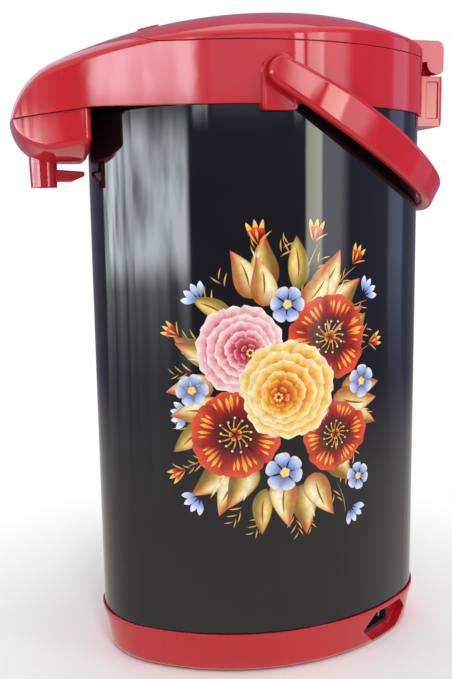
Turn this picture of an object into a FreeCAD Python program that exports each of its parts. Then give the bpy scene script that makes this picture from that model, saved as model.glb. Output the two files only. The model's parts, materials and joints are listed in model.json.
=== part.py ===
import FreeCAD, Part
import math
import os
import re
import Sketcher
from FreeCAD import Placement, Rotation, Vector

# Pump pot: oval insulated pot with a heater, an air pump in its hinged lid and a swinging bail handle.
# Millimetres. Z is up from the table, the spout points to -Y and the lid's hinge is at +Y.

doc = FreeCAD.newDocument("PumpPot")
sheet = doc.addObject("Spreadsheet::Sheet", "Sizes")

SIZES = [
    # oval of the shell's outside: four tangent arcs
    ("half_depth", 110.0),
    ("end_radius", 54.0),
    ("side_radius", 143.0),
    # base
    ("foot_stand", 1.2),
    ("foot_sink", 1.8),
    ("foot_outer_inset", 10.0),
    ("foot_width", 7.0),
    ("base_height", 28.0),
    ("base_lip", 1.2),
    ("base_band", 2.7),
    ("base_step", 0.6),
    ("base_inset", 3.2),
    ("base_wall", 2.6),
    ("base_floor", 4.3),
    ("base_edge_radius", 4.5),
    ("base_opening_inset", 30.0),
    ("plate_lap", 6.0),
    ("plate_thickness", 1.6),
    ("plate_clearance", 0.2),
    # steel shell
    ("shell_wall", 0.8),
    ("shell_seat", 3.0),
    ("seat_clearance", 0.15),
    # power inlet
    ("inlet_offset", 35.6),
    ("recess_half_width", 25.0),
    ("recess_flat_half", 14.0),
    ("recess_low", 3.0),
    ("recess_high", 24.6),
    ("recess_depth", 10.0),
    ("recess_backing", 5.0),
    ("inlet_half_width", 13.5),
    ("inlet_height", 16.0),
    ("inlet_length", 20.0),
    ("inlet_rim", 2.2),
    ("socket_depth", 14.0),
    ("socket_chamfer", 4.0),
    ("pin_pitch", 6.5),
    ("pin_thick", 2.0),
    ("pin_tall", 4.0),
    ("pin_tail", 5.0),
    ("earth_lift", 2.8),
    ("live_drop", 1.4),
    ("lead_radius", 1.5),
    ("terminal_reach", 22.2),
    ("terminal_drop", 3.0),
    # inner pot
    ("pot_gap", 13.0),
    ("pot_wall", 1.0),
    ("pot_floor", 44.0),
    ("pot_edge_radius", 12.0),
    ("pot_flange", 9.5),
    ("pot_flange_thickness", 1.0),
    ("pot_gasket_thickness", 2.0),
    ("heater_radius", 50.0),
    ("heater_thickness", 7.0),
    ("element_radius", 34.0),
    ("element_tube", 5.0),
    ("terminal_radius", 2.5),
    ("thermostat_radius", 8.0),
    ("thermostat_height", 8.0),
    ("thermostat_pitch", 11.0),
    # water path
    ("pipe_radius", 4.0),
    ("pipe_wall", 0.9),
    ("riser_y", 103.0),
    ("outlet_y", 79.0),
    ("outlet_drop", 8.0),
    ("riser_low", 52.0),
    ("riser_rise", 2.5),
    ("arch_rise", 5.0),
    ("sleeve_wall", 1.2),
    ("sleeve_half", 6.0),
    ("nozzle_y", 138.3),
    ("nozzle_drop", 44.5),
    ("nozzle_low_radius", 8.0),
    ("nozzle_high_radius", 8.5),
    ("nozzle_bore", 5.0),
    ("nozzle_bore_depth", 9.0),
    ("pipe_seat", 0.5),
    ("nozzle_flange", 11.5),
    ("nozzle_flange_thickness", 2.0),
    ("web_half_width", 4.0),
    ("web_rear_y", 113.4),
    ("web_lift", 3.5),
    ("web_height", 8.0),
    ("web_top_fall", 1.8),
    ("web_tip_rise", 3.5),
    ("web_tip_run", 8.0),
    ("web_edge", 1.4),
    # shoulder and hood
    ("rim_height", 349.5),
    ("skirt_clearance", 0.3),
    ("shoulder_wall", 2.2),
    ("seam_rise", 35.0),
    ("seam_gap", 0.5),
    ("seam_front_y", 87.5),
    ("seam_corner", 12.0),
    ("lid_rise", 28.0),
    ("apex_y", 18.0),
    ("front_arc", 350.0),
    ("rear_arc", 225.0),
    ("crown_arc", 145.0),
    ("nose_reach", 157.5),
    ("nose_tip_arc", 46.0),
    ("nose_plan_over", 6.0),
    ("nose_plan_radius", 34.0),
    ("nose_drop", 5.5),
    ("crease_radius", 4.0),
    ("deck_rise", 14.5),
    ("deck_thickness", 3.0),
    ("collar_height", 4.0),
    ("collar_wall", 2.0),
    ("well_wall", 2.0),
    ("shell_top_clearance", 0.3),
    ("mouth_half_depth", 80.0),
    ("mouth_end_radius", 40.0),
    ("mouth_side_radius", 104.0),
    ("mouth_shift", 6.0),
    ("riser_notch", 7.5),
    # spout cover
    ("cover_drop", 30.0),
    ("cover_inset", 1.4),
    ("cover_front_gap", 0.8),
    ("cover_rear_y", 112.4),
    ("cover_wall", 2.0),
    ("cover_join_gap", 0.3),
    ("cover_front_arc", 24.0),
    ("cover_crown", 90.0),
    ("cover_crease", 4.0),
    # handle, its ears and its pivots
    ("pivot_y", 10.5),
    ("pivot_rise", 16.5),
    ("ear_half_width", 10.5),
    ("ear_proud", 3.1),
    ("ear_depth", 9.4),
    ("ear_drop", 4.2),
    ("ear_rim", 1.9),
    ("ear_sink", 0.6),
    ("ear_shell_gap", 0.4),
    ("ear_foot_radius", 2.5),
    ("pivot_radius", 5.0),
    ("pivot_seat", 2.2),
    ("pivot_length", 7.4),
    ("pivot_clearance", 0.08),
    ("pivot_end_gap", 0.4),
    ("handle_gap", 0.5),
    ("handle_thickness", 7.0),
    ("handle_straight", 20.0),
    ("handle_reach", 143.8),
    ("handle_end_radius", 55.7),
    ("handle_hub_radius", 8.2),
    ("handle_bar_half", 8.2),
    ("handle_bow", 1120.0),
    ("handle_edge", 2.6),
    ("handle_rest_angle", 28.6),
    # lid hinge
    ("hinge_y", 119.4),
    ("hinge_drop", 1.0),
    ("hinge_half_width", 18.5),
    ("hinge_rear_y", 125.6),
    ("cheek_width", 6.0),
    ("cheek_gap", 0.4),
    ("cheek_radius", 5.8),
    ("cheek_corner", 4.0),
    ("cheek_drop", 6.4),
    ("knuckle_radius", 5.2),
    ("bridge_lift", 7.7),
    ("bridge_height", 7.4),
    ("bridge_edge", 5.0),
    ("hinge_pin_radius", 2.2),
    ("hinge_pin_clearance", 0.08),
    ("hinge_pin_cover", 1.5),
    ("bracket_drop", 6.5),
    ("bracket_gap", 7.8),
    ("bracket_chamfer", 2.0),
    ("bracket_chamfer_rise", 4.0),
    ("bracket_panel", 3.5),
    ("bracket_panel_sink", 1.0),
    ("bracket_edge", 2.5),
    ("bracket_root_y", 100.0),
    # lid
    ("lid_wall", 2.5),
    ("pump_radius", 38.0),
    ("pump_y", 5.0),
    ("pump_clearance", 0.4),
    ("pump_skirt", 14.5),
    ("pump_cap", 9.5),
    ("pump_skirt_wall", 2.2),
    ("pump_edge", 1.6),
    ("sleeve_depth", 25.5),
    ("pump_sleeve_wall", 2.0),
    ("liner_drop", 9.5),
    ("liner_floor", 2.5),
    ("liner_inset", 3.5),
    ("liner_wall", 2.0),
    ("liner_rim", 6.5),
    ("liner_front_gap", 3.5),
    ("cup_radius", 43.0),
    ("cup_wall", 2.0),
    ("cup_drop", 7.0),
    ("valve_hole", 4.0),
    ("valve_radius", 9.0),
    ("valve_thickness", 1.2),
    ("gasket_inner", 0.5),
    ("gasket_outer", 8.0),
    ("gasket_gap", 0.3),
    ("bellows_outer", 33.0),
    ("bellows_inner", 26.0),
    ("bellows_wall", 1.4),
    ("spring_radius", 17.0),
    ("spring_wire", 0.9),
    ("spring_turns", 7.0),
    ("spring_end_gap", 0.2),
    ("boss_radius", 4.2),
    ("boss_front_x", 28.0),
    ("boss_front_y", 50.0),
    ("boss_rear_x", 36.0),
    ("boss_rear_y", 48.0),
    ("screw_radius", 1.5),
    ("screw_head_radius", 3.0),
    ("screw_head_height", 1.0),
    ("liner_screw_length", 12.0),
    ("base_screw_length", 5.0),
    ("base_screw_angle", 45.0),
    # sliders on the lid
    ("slider_sink", 1.8),
    ("slider_proud", 0.2),
    ("slider_float", 0.3),
    ("slider_ridge", 0.5),
    ("slider_ridge_half", 0.6),
    ("slider_ridge_pitch", 3.3),
    ("slider_ridge_margin", 2.5),
    ("slider_frame", 2.0),
    ("slider_stem_half", 2.0),
    ("slider_clearance", 0.4),
    ("slider_backing", 2.4),
    ("slider_keeper", 2.0),
    ("catch_y", 73.0),
    ("catch_half_width", 15.0),
    ("catch_half_length", 6.5),
    ("catch_travel", 5.0),
    ("catch_stem_half", 5.0),
    ("catch_tongue_half", 8.0),
    ("lock_y", 66.0),
    ("lock_half_width", 7.0),
    ("lock_half_length", 6.5),
    ("lock_travel", 10.0),
    ("lock_stem_half", 3.0),
    ("lock_key_half", 5.0),
    ("vent_y", 90.0),
    ("vent_pitch", 5.0),
    ("vent_half_width", 9.0),
    ("vent_slot", 2.0),
    # how far cutting shapes run past the part
    ("cut_over", 20.0),
    ("cut_span", 400.0),
]
for row, (alias, value) in enumerate(SIZES, 1):
    sheet.set(f"A{row}", alias)
    sheet.set(f"B{row}", str(value))
    sheet.setAlias(f"B{row}", alias)
doc.recompute()

ALIASES = {alias for alias, value in SIZES}
MIDDLE = "sqrt((side_radius - end_radius)^2 - (half_depth - end_radius)^2)"

# Places that follow from the oval and from the shoulder's rim
DERIVED = {
    "half_width": f"(side_radius - {MIDDLE})",
    "inlet_angle": f"(asin(inlet_offset / {MIDDLE}) / 1deg)",
    "ear_face": "(half_width + skirt_clearance + shoulder_wall + ear_proud)",
    "pivot_root": "(ear_face - pivot_seat)",
    "riser_high": "(rim_height + riser_rise)",
    "nozzle_low": "(rim_height - nozzle_drop)",
    "web_low": "(nozzle_low + web_lift)",
    "web_high": "(web_low + web_height)",
    "seam_height": "(rim_height + seam_rise)",
    "top_height": "(seam_height + lid_rise)",
    "deck_height": "(rim_height + deck_rise)",
    "cover_low": "(rim_height - cover_drop)",
    "pivot_z": "(rim_height + pivot_rise)",
    "ear_low": "(rim_height - ear_drop)",
    "hinge_z": "(seam_height - hinge_drop)",
    "bridge_low": "(hinge_z + bridge_lift)",
    "bridge_high": "(bridge_low + bridge_height)",
    "bracket_low": "(rim_height - bracket_drop)",
    "bracket_high": "(hinge_z - bracket_gap)",
    "pump_skirt_low": "(top_height - pump_skirt)",
    "pump_under": "(top_height - pump_cap)",
    "sleeve_low": "(top_height - sleeve_depth)",
    "liner_low": "(seam_height - liner_drop)",
    "cup_low": "(liner_low - cup_drop)",
}


def cells(expression):
    def named(found):
        word = found[0]
        if word in DERIVED:
            return cells(DERIVED[word])
        return "Sizes." + word if word in ALIASES else word

    return re.sub(r"[a-z][a-z_]+", named, expression)


def val(expression):
    return float(sheet.evalExpression(cells(expression)))


def bind(thing, prop, expression):
    thing.setExpression(prop, cells(expression))


def place(thing, x="0", y="0", z="0", turn=None, axis=Vector(0, 0, 1)):
    angle = 0.0 if turn is None else val(turn)
    thing.Placement = Placement(Vector(val(x), val(y), val(z)), Rotation(axis, angle))
    bind(thing, "Placement.Base.x", x)
    bind(thing, "Placement.Base.y", y)
    bind(thing, "Placement.Base.z", z)
    if turn is not None:
        bind(thing, "Placement.Rotation.Angle", f"({turn}) * 1deg")


# Sketches

def body(name):
    return doc.addObject("PartDesign::Body", name)


def sketch(owner, plane="XY", lift="0"):
    made = owner.newObject("Sketcher::SketchObject", owner.Name + "_sketch")
    origin = next(f for f in owner.Origin.OriginFeatures if f.Role == plane + "_Plane")
    made.AttachmentSupport = [(origin, "")]
    made.MapMode = "FlatFace"
    bind(made, "AttachmentOffset.Base.z", lift)
    return made


def dimension(sk, kind, refs, expression):
    index = sk.addConstraint(Sketcher.Constraint(kind, *refs, val(expression)))
    bind(sk, f"Constraints[{index}]", expression)


def chain(sk, items, tangent):
    count = len(items)
    for i in range(count):
        kind = "Tangent" if tangent[i] else "Coincident"
        sk.addConstraint(Sketcher.Constraint(kind, items[i], 2, items[(i + 1) % count], 1))


def arc(sk, x, y, radius, start, end):
    circle = Part.Circle(Vector(x, y, 0), Vector(0, 0, 1), radius)
    return sk.addGeometry(Part.ArcOfCircle(circle, start, end))


def line(sk, start, end):
    return sk.addGeometry(Part.LineSegment(Vector(*start, 0), Vector(*end, 0)))


def oval(sk, grow="0", depth="half_depth", tip="end_radius", flank="side_radius", shift="0"):
    reach = val(f"{depth} - {tip}")
    tip_r = val(f"{tip} + {grow}")
    flank_r = val(f"{flank} + {grow}")
    offset = math.sqrt(val(f"{flank} - {tip}") ** 2 - reach ** 2)
    join = math.atan2(reach, offset)
    mid = val(shift)
    right = arc(sk, -offset, mid, flank_r, -join, join)
    back = arc(sk, 0, mid + reach, tip_r, join, math.pi - join)
    left = arc(sk, offset, mid, flank_r, math.pi - join, math.pi + join)
    front = arc(sk, 0, mid - reach, tip_r, math.pi + join, 2 * math.pi - join)
    chain(sk, [right, back, left, front], [True] * 4)
    for item, sign in ((back, "+"), (front, "-")):
        sk.addConstraint(Sketcher.Constraint("PointOnObject", item, 3, -2))
        dimension(sk, "DistanceY", (-1, 1, item, 3), f"{shift} {sign} ({depth} - {tip})")
        dimension(sk, "Radius", (item,), f"{tip} + {grow}")
    for item in (right, left):
        dimension(sk, "Radius", (item,), f"{flank} + {grow}")


def mouth(sk, grow="0"):
    oval(sk, grow, "mouth_half_depth", "mouth_end_radius", "mouth_side_radius", "mouth_shift")


def nose_outline(sk, grow):
    reach = val("half_depth - end_radius")
    tip_r = val(f"end_radius + {grow}")
    flank_r = val(f"side_radius + {grow}")
    nose_r = val(f"nose_plan_radius + {grow}")
    nose_c = val("nose_reach + nose_plan_over - nose_plan_radius")
    offset = val(MIDDLE)
    join = math.atan2(reach, offset)
    apart = math.hypot(offset, nose_c)
    lean = math.atan2(-nose_c, offset) + math.acos((flank_r - nose_r) / apart)
    c, s = math.cos(lean), math.sin(lean)
    right = arc(sk, -offset, 0, flank_r, lean, join)
    back = arc(sk, 0, reach, tip_r, join, math.pi - join)
    left = arc(sk, offset, 0, flank_r, math.pi - join, math.pi - lean)
    left_line = line(sk, (offset - flank_r * c, flank_r * s), (-nose_r * c, -nose_c + nose_r * s))
    nose = arc(sk, 0, -nose_c, nose_r, math.pi - lean, 2 * math.pi + lean)
    right_line = line(sk, (nose_r * c, -nose_c + nose_r * s), (flank_r * c - offset, flank_r * s))
    chain(sk, [right, back, left, left_line, nose, right_line], [True] * 6)
    for item in (back, nose):
        sk.addConstraint(Sketcher.Constraint("PointOnObject", item, 3, -2))
    for item in (right, left):
        sk.addConstraint(Sketcher.Constraint("PointOnObject", item, 3, -1))
        dimension(sk, "Radius", (item,), f"side_radius + {grow}")
    dimension(sk, "DistanceY", (-1, 1, back, 3), "half_depth - end_radius")
    dimension(sk, "DistanceY", (-1, 1, nose, 3), "nose_plan_radius - nose_reach - nose_plan_over")
    dimension(sk, "Radius", (back,), f"end_radius + {grow}")
    dimension(sk, "Radius", (nose,), f"nose_plan_radius + {grow}")


def dome_outline(sk, inset):
    apex, top = val("apex_y"), val(f"top_height - {inset}")
    front_r, rear_r = val(f"front_arc - {inset}"), val(f"rear_arc - {inset}")
    tip_r = val(f"nose_tip_arc - {inset}")
    tip_y = val("nose_tip_arc - nose_reach")
    front_z = top - front_r
    tip_z = front_z + math.sqrt((front_r - tip_r) ** 2 - (apex - tip_y) ** 2)
    lean = math.atan2(tip_z - front_z, tip_y - apex)
    back_y = val("hinge_rear_y + cut_over")
    high = top + val("3 * cut_over")
    far = tip_y - tip_r - val("cut_over")
    low = val("cover_low")
    fall = math.acos((back_y - apex) / rear_r)
    rear_end = (back_y, top - rear_r + rear_r * math.sin(fall))
    rear = arc(sk, apex, top - rear_r, rear_r, fall, math.pi / 2)
    front = arc(sk, apex, front_z, front_r, math.pi / 2, lean)
    tip = arc(sk, tip_y, tip_z, tip_r, lean, math.pi)
    drop = line(sk, (tip_y - tip_r, tip_z), (tip_y - tip_r, low))
    foot = line(sk, (tip_y - tip_r, low), (far, low))
    outside = line(sk, (far, low), (far, high))
    roof = line(sk, (far, high), (back_y, high))
    behind = line(sk, (back_y, high), rear_end)
    chain(sk, [rear, front, tip, drop, foot, outside, roof, behind], [True] * 3 + [False] * 5)
    for item in (foot, roof):
        sk.addConstraint(Sketcher.Constraint("Horizontal", item))
    for item in (drop, outside, behind):
        sk.addConstraint(Sketcher.Constraint("Vertical", item))
    sk.addConstraint(Sketcher.Constraint("Vertical", front, 3, front, 1))
    dimension(sk, "Radius", (rear,), f"rear_arc - {inset}")
    dimension(sk, "Radius", (front,), f"front_arc - {inset}")
    dimension(sk, "Radius", (tip,), f"nose_tip_arc - {inset}")
    dimension(sk, "DistanceX", (-1, 1, front, 1), "apex_y")
    dimension(sk, "DistanceY", (-1, 1, front, 1), f"top_height - {inset}")
    dimension(sk, "DistanceX", (-1, 1, drop, 1), f"{inset} - nose_reach")
    dimension(sk, "DistanceY", (-1, 1, foot, 1), "cover_low")
    dimension(sk, "DistanceX", (-1, 1, outside, 1), f"{inset} - nose_reach - cut_over")
    dimension(sk, "DistanceY", (-1, 1, roof, 1), f"top_height - {inset} + 3 * cut_over")
    dimension(sk, "DistanceX", (-1, 1, behind, 1), "hinge_rear_y + cut_over")
    turning_axis(sk, "top_height - crown_arc")


def belly_outline(sk, inset):
    """What is cut away in front of and under the spout cover."""
    front_y = val(f"cover_front_gap + {inset} - nose_reach")
    floor_z = val(f"cover_low + {inset}")
    bend = val(f"cover_front_arc - {inset}")
    rear_y, high = val("cut_over - cover_rear_y"), val("rim_height + cut_over")
    far, deep = front_y - val("cut_over"), floor_z - val("cut_over")
    floor = line(sk, (rear_y, floor_z), (front_y + bend, floor_z))
    turn = arc(sk, front_y + bend, floor_z + bend, bend, math.pi, 3 * math.pi / 2)
    front = line(sk, (front_y, floor_z + bend), (front_y, high))
    roof = line(sk, (front_y, high), (far, high))
    outside = line(sk, (far, high), (far, deep))
    under = line(sk, (far, deep), (rear_y, deep))
    behind = line(sk, (rear_y, deep), (rear_y, floor_z))
    sk.addConstraint(Sketcher.Constraint("Tangent", floor, 2, turn, 2))
    sk.addConstraint(Sketcher.Constraint("Tangent", turn, 1, front, 1))
    for first, second in ((front, roof), (roof, outside), (outside, under), (under, behind), (behind, floor)):
        sk.addConstraint(Sketcher.Constraint("Coincident", first, 2, second, 1))
    for item in (floor, roof, under):
        sk.addConstraint(Sketcher.Constraint("Horizontal", item))
    for item in (front, outside, behind):
        sk.addConstraint(Sketcher.Constraint("Vertical", item))
    dimension(sk, "Radius", (turn,), f"cover_front_arc - {inset}")
    dimension(sk, "DistanceY", (-1, 1, floor, 1), f"cover_low + {inset}")
    dimension(sk, "DistanceX", (-1, 1, front, 1), f"cover_front_gap + {inset} - nose_reach")
    dimension(sk, "DistanceY", (-1, 1, roof, 1), "rim_height + cut_over")
    dimension(sk, "DistanceX", (-1, 1, outside, 1), f"cover_front_gap + {inset} - nose_reach - cut_over")
    dimension(sk, "DistanceY", (-1, 1, under, 1), f"cover_low + {inset} - cut_over")
    dimension(sk, "DistanceX", (-1, 1, behind, 1), "cut_over - cover_rear_y")
    turning_axis(sk, "cover_low + cover_crown")


def turning_axis(sk, height):
    axis = line(sk, (0, val(height)), (val("half_depth"), val(height)))
    sk.setConstruction(axis, True)
    sk.addConstraint(Sketcher.Constraint("Horizontal", axis))
    sk.addConstraint(Sketcher.Constraint("PointOnObject", axis, 1, -2))
    dimension(sk, "DistanceY", (-1, 1, axis, 1), height)
    dimension(sk, "Distance", (axis,), "half_depth")


def polygon(sk, points):
    spots = [(val(x), val(y)) for x, y in points]
    count = len(spots)
    items = [line(sk, spots[i], spots[(i + 1) % count]) for i in range(count)]
    chain(sk, items, [False] * count)
    for item, (x, y) in zip(items, points):
        dimension(sk, "DistanceX", (-1, 1, item, 1), x)
        dimension(sk, "DistanceY", (-1, 1, item, 1), y)


def squared(sk, points):
    """Closed outline of level and upright lines; a point (x, y, r) has a rounded corner."""
    count = len(points)
    spots = [(val(p[0]), val(p[1])) for p in points]
    radii = [val(p[2]) if len(p) > 2 else 0.0 for p in points]

    def toward(i, j):
        dx, dy = spots[j][0] - spots[i][0], spots[j][1] - spots[i][1]
        reach = math.hypot(dx, dy)
        return dx / reach, dy / reach

    lines = []
    for i in range(count):
        j = (i + 1) % count
        dx, dy = toward(i, j)
        start = (spots[i][0] + dx * radii[i], spots[i][1] + dy * radii[i])
        end = (spots[j][0] - dx * radii[j], spots[j][1] - dy * radii[j])
        item = line(sk, start, end)
        level = abs(dy) < 0.5
        sk.addConstraint(Sketcher.Constraint("Horizontal" if level else "Vertical", item))
        lines.append((item, start, end, level))
    for i in range(count):
        before, after = lines[i - 1], lines[i]
        if radii[i] == 0.0:
            sk.addConstraint(Sketcher.Constraint("Coincident", before[0], 2, after[0], 1))
        else:
            ax, ay = toward(i - 1, i)
            bx, by = toward(i, (i + 1) % count)
            cx = before[2][0] + bx * radii[i]
            cy = before[2][1] + by * radii[i]
            one = math.atan2(before[2][1] - cy, before[2][0] - cx)
            two = math.atan2(after[1][1] - cy, after[1][0] - cx)
            left_turn = ax * by - ay * bx > 0
            begin, stop = (one, two) if left_turn else (two, one)
            corner = arc(sk, cx, cy, radii[i], begin, stop if stop > begin else stop + 2 * math.pi)
            first, last = (1, 2) if left_turn else (2, 1)
            sk.addConstraint(Sketcher.Constraint("Tangent", before[0], 2, corner, first))
            sk.addConstraint(Sketcher.Constraint("Tangent", corner, last, after[0], 1))
            dimension(sk, "Radius", (corner,), points[i][2])
    for i in range(count):
        item, start, end, level = lines[i]
        kind = "DistanceY" if level else "DistanceX"
        dimension(sk, kind, (-1, 1, item, 1), points[i][1 if level else 0])


def disc(sk, radius, x="0", y="0"):
    item = sk.addGeometry(Part.Circle(Vector(val(x), val(y), 0), Vector(0, 0, 1), val(radius)))
    dimension(sk, "Radius", (item,), radius)
    dimension(sk, "DistanceX", (-1, 1, item, 3), x)
    dimension(sk, "DistanceY", (-1, 1, item, 3), y)


# Features

def pad(owner, sk, length, sides="One side", back=False):
    made = owner.newObject("PartDesign::Pad", owner.Name + "_pad")
    made.Profile = sk
    made.SideType = sides
    made.Reversed = back
    bind(made, "Length", length)
    doc.recompute()
    return made


def pocket(owner, sk, length, sides="One side", up=False):
    made = owner.newObject("PartDesign::Pocket", owner.Name + "_pocket")
    made.Profile = sk
    made.SideType = sides
    made.Reversed = up
    bind(made, "Length", length)
    doc.recompute()
    return made


def loft(owner, first, second):
    made = owner.newObject("PartDesign::AdditiveLoft", owner.Name + "_loft")
    made.Profile = first
    made.Sections = [(second, [""])]
    doc.recompute()
    return made


def turned_cut(owner, outline, inset):
    sk = sketch(owner, "YZ")
    outline(sk, inset)
    made = owner.newObject("PartDesign::Groove", owner.Name + "_turned")
    made.Profile = sk
    made.ReferenceAxis = (sk, ["Axis0"])
    made.Midplane = True
    made.Angle = 180
    doc.recompute()
    return made


def rounded(owner, radius, wanted):
    base = owner.Tip
    names = [f"Edge{i}" for i, e in enumerate(base.Shape.Edges, 1) if wanted(e, base.Shape)]
    made = owner.newObject("PartDesign::Fillet", owner.Name + "_round")
    made.Base = (base, names)
    bind(made, "Radius", radius)
    doc.recompute()
    return made


def middle(edge):
    return edge.valueAt((edge.FirstParameter + edge.LastParameter) / 2)


def below(height):
    return lambda edge, shape: edge.BoundBox.ZMax < val(height) + 0.01


def wall_meets_dome(edge, shape):
    upright = []
    for face in shape.ancestorsOfType(edge, Part.Face):
        u, v = face.Surface.parameter(middle(edge))
        upright.append(abs(face.normalAt(u, v).z) < 1e-3)
    return sorted(upright) == [False, True] and middle(edge).z > val("rim_height - nose_drop") + 1.0


def join(kind, name, first, *others):
    made = first
    for other in others:
        step = doc.addObject(kind, name)
        step.Base = made
        step.Tool = other
        step.Refine = True
        made = step
    doc.recompute()
    return made


def cut(name, first, *others):
    return join("Part::Cut", name, first, *others)


def fuse(name, first, *others):
    return join("Part::Fuse", name, first, *others)


def common(name, first, other):
    return join("Part::Common", name, first, other)


def group(name, items):
    made = doc.addObject("Part::Compound", name)
    made.Links = items
    doc.recompute()
    return made


def cylinder(name, radius, height, x="0", y="0", z="0", turn=None, axis=Vector(0, 0, 1)):
    made = doc.addObject("Part::Cylinder", name)
    bind(made, "Radius", radius)
    bind(made, "Height", height)
    place(made, x, y, z, turn, axis)
    return made


def box(name, length, width, height, x="0", y="0", z="0", turn=None, axis=Vector(0, 0, 1)):
    made = doc.addObject("Part::Box", name)
    bind(made, "Length", length)
    bind(made, "Width", width)
    bind(made, "Height", height)
    place(made, x, y, z, turn, axis)
    return made


PARTS = {}


def part(label, thing):
    thing.Label = label
    PARTS[label] = thing
    return thing


SHOULDER_GROW = "skirt_clearance + shoulder_wall"

# Steel shell
shell = body("shell")
sk = sketch(shell, lift="base_height - shell_seat")
oval(sk)
oval(sk, "-shell_wall")
pad(shell, sk, "deck_height - shell_top_clearance - base_height + shell_seat")
part("outer_shell", shell)

# Base ring: drafted wall, lip band round the shell, floor flange, inlet recess
base = body("base")
low = sketch(base, lift="foot_stand")
oval(low, "-base_inset")
high = sketch(base, lift="base_height - base_band")
oval(high, "base_lip - base_step")
loft(base, low, high)
sk = sketch(base, lift="base_height - base_band")
oval(sk, "base_lip")
pad(base, sk, "base_band")
rounded(base, "base_edge_radius", below("foot_stand"))

cavity = body("base_cavity")
low = sketch(cavity, lift="foot_stand + base_floor")
oval(low, "-base_inset - base_wall")
high = sketch(cavity, lift="base_height - shell_seat")
oval(high, "base_lip - base_step - base_wall")
loft(cavity, low, high)

INLET_X = f"side_radius * cos(inlet_angle * 1deg) - {MIDDLE}"
INLET_Y = "side_radius * sin(inlet_angle * 1deg)"


def at_inlet(back, side):
    x = f"{INLET_X} - ({back}) * cos(inlet_angle * 1deg) - ({side}) * sin(inlet_angle * 1deg)"
    y = f"{INLET_Y} - ({back}) * sin(inlet_angle * 1deg) + ({side}) * cos(inlet_angle * 1deg)"
    return x, y


BOSS_HALF = "recess_half_width + recess_backing"
boss_x, boss_y = at_inlet("recess_depth + recess_backing", f"-({BOSS_HALF})")
inlet_boss = box("inlet_boss", "recess_depth + recess_backing + cut_over", f"2 * ({BOSS_HALF})",
                 "base_height - shell_seat", boss_x, boss_y, "0", "inlet_angle")
cavity_clear = cut("base_cavity_clear", cavity, inlet_boss)

seat = body("base_seat")
sk = sketch(seat, lift="base_height - shell_seat")
oval(sk, "seat_clearance")
pad(seat, sk, "shell_seat + cut_over")

under = body("base_under")
sk = sketch(under)
oval(sk, "-base_opening_inset")
pad(under, sk, "foot_stand + base_floor + cut_over")
sk = sketch(under)
oval(sk, "plate_lap - base_opening_inset")
pad(under, sk, "foot_stand + plate_thickness")

groove = body("foot_groove")
sk = sketch(groove)
oval(sk, "-foot_outer_inset")
oval(sk, "-foot_outer_inset - foot_width")
pad(groove, sk, "foot_stand + foot_sink")

recess = body("inlet_recess")
place(recess, INLET_X, INLET_Y, "0", "inlet_angle")
sk = sketch(recess, "YZ", "-recess_depth")
RECESS_MID = "(recess_low + recess_high) / 2"
polygon(sk, [("-recess_half_width", RECESS_MID), ("-recess_flat_half", "recess_low"),
             ("recess_flat_half", "recess_low"), ("recess_half_width", RECESS_MID),
             ("recess_flat_half", "recess_high"), ("-recess_flat_half", "recess_high")])
pad(recess, sk, "recess_depth + cut_over")
sk = sketch(recess, "YZ", "-recess_depth - recess_backing - base_wall")
INLET_LOW = f"{RECESS_MID} - inlet_height / 2"
INLET_HIGH = f"{RECESS_MID} + inlet_height / 2"
squared(sk, [("-inlet_half_width", INLET_LOW), ("inlet_half_width", INLET_LOW),
             ("inlet_half_width", INLET_HIGH), ("-inlet_half_width", INLET_HIGH)])
pad(recess, sk, "recess_backing + base_wall + recess_depth")


def screws(name, spots, z, length):
    made = []
    for x, y in spots:
        head_z = f"{z} - screw_head_height"
        head = cylinder(name + "_head", "screw_head_radius", "screw_head_height", x, y, head_z)
        shank = cylinder(name + "_shank", "screw_radius", length, x, y, z)
        made.append(fuse(name + "_screw", head, shank))
    return group(name, made)


BASE_SCREW_REACH = "end_radius - base_opening_inset + plate_lap / 2"
bsx = f"({BASE_SCREW_REACH}) * cos(base_screw_angle * 1deg)"
bsy = f"half_depth - end_radius + ({BASE_SCREW_REACH}) * sin(base_screw_angle * 1deg)"
base_spots = [(f"{a}({bsx})", f"{b}({bsy})") for a in ("", "-") for b in ("", "-")]
base_screws = part("base_screws", screws("base_screw_set", base_spots, "foot_stand", "base_screw_length"))
part("base_ring", cut("base_ring_cut", base, cavity_clear, seat, under, groove, recess, base_screws))

plate = body("plate")
sk = sketch(plate, lift="foot_stand")
oval(sk, "plate_lap - base_opening_inset - plate_clearance")
pad(plate, sk, "plate_thickness")
part("bottom_plate", cut("plate_cut", plate, base_screws))

foot = body("foot")
sk = sketch(foot)
oval(sk, "-foot_outer_inset")
oval(sk, "-foot_outer_inset - foot_width")
pad(foot, sk, "foot_stand + foot_sink")
part("foot_ring", foot)

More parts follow.
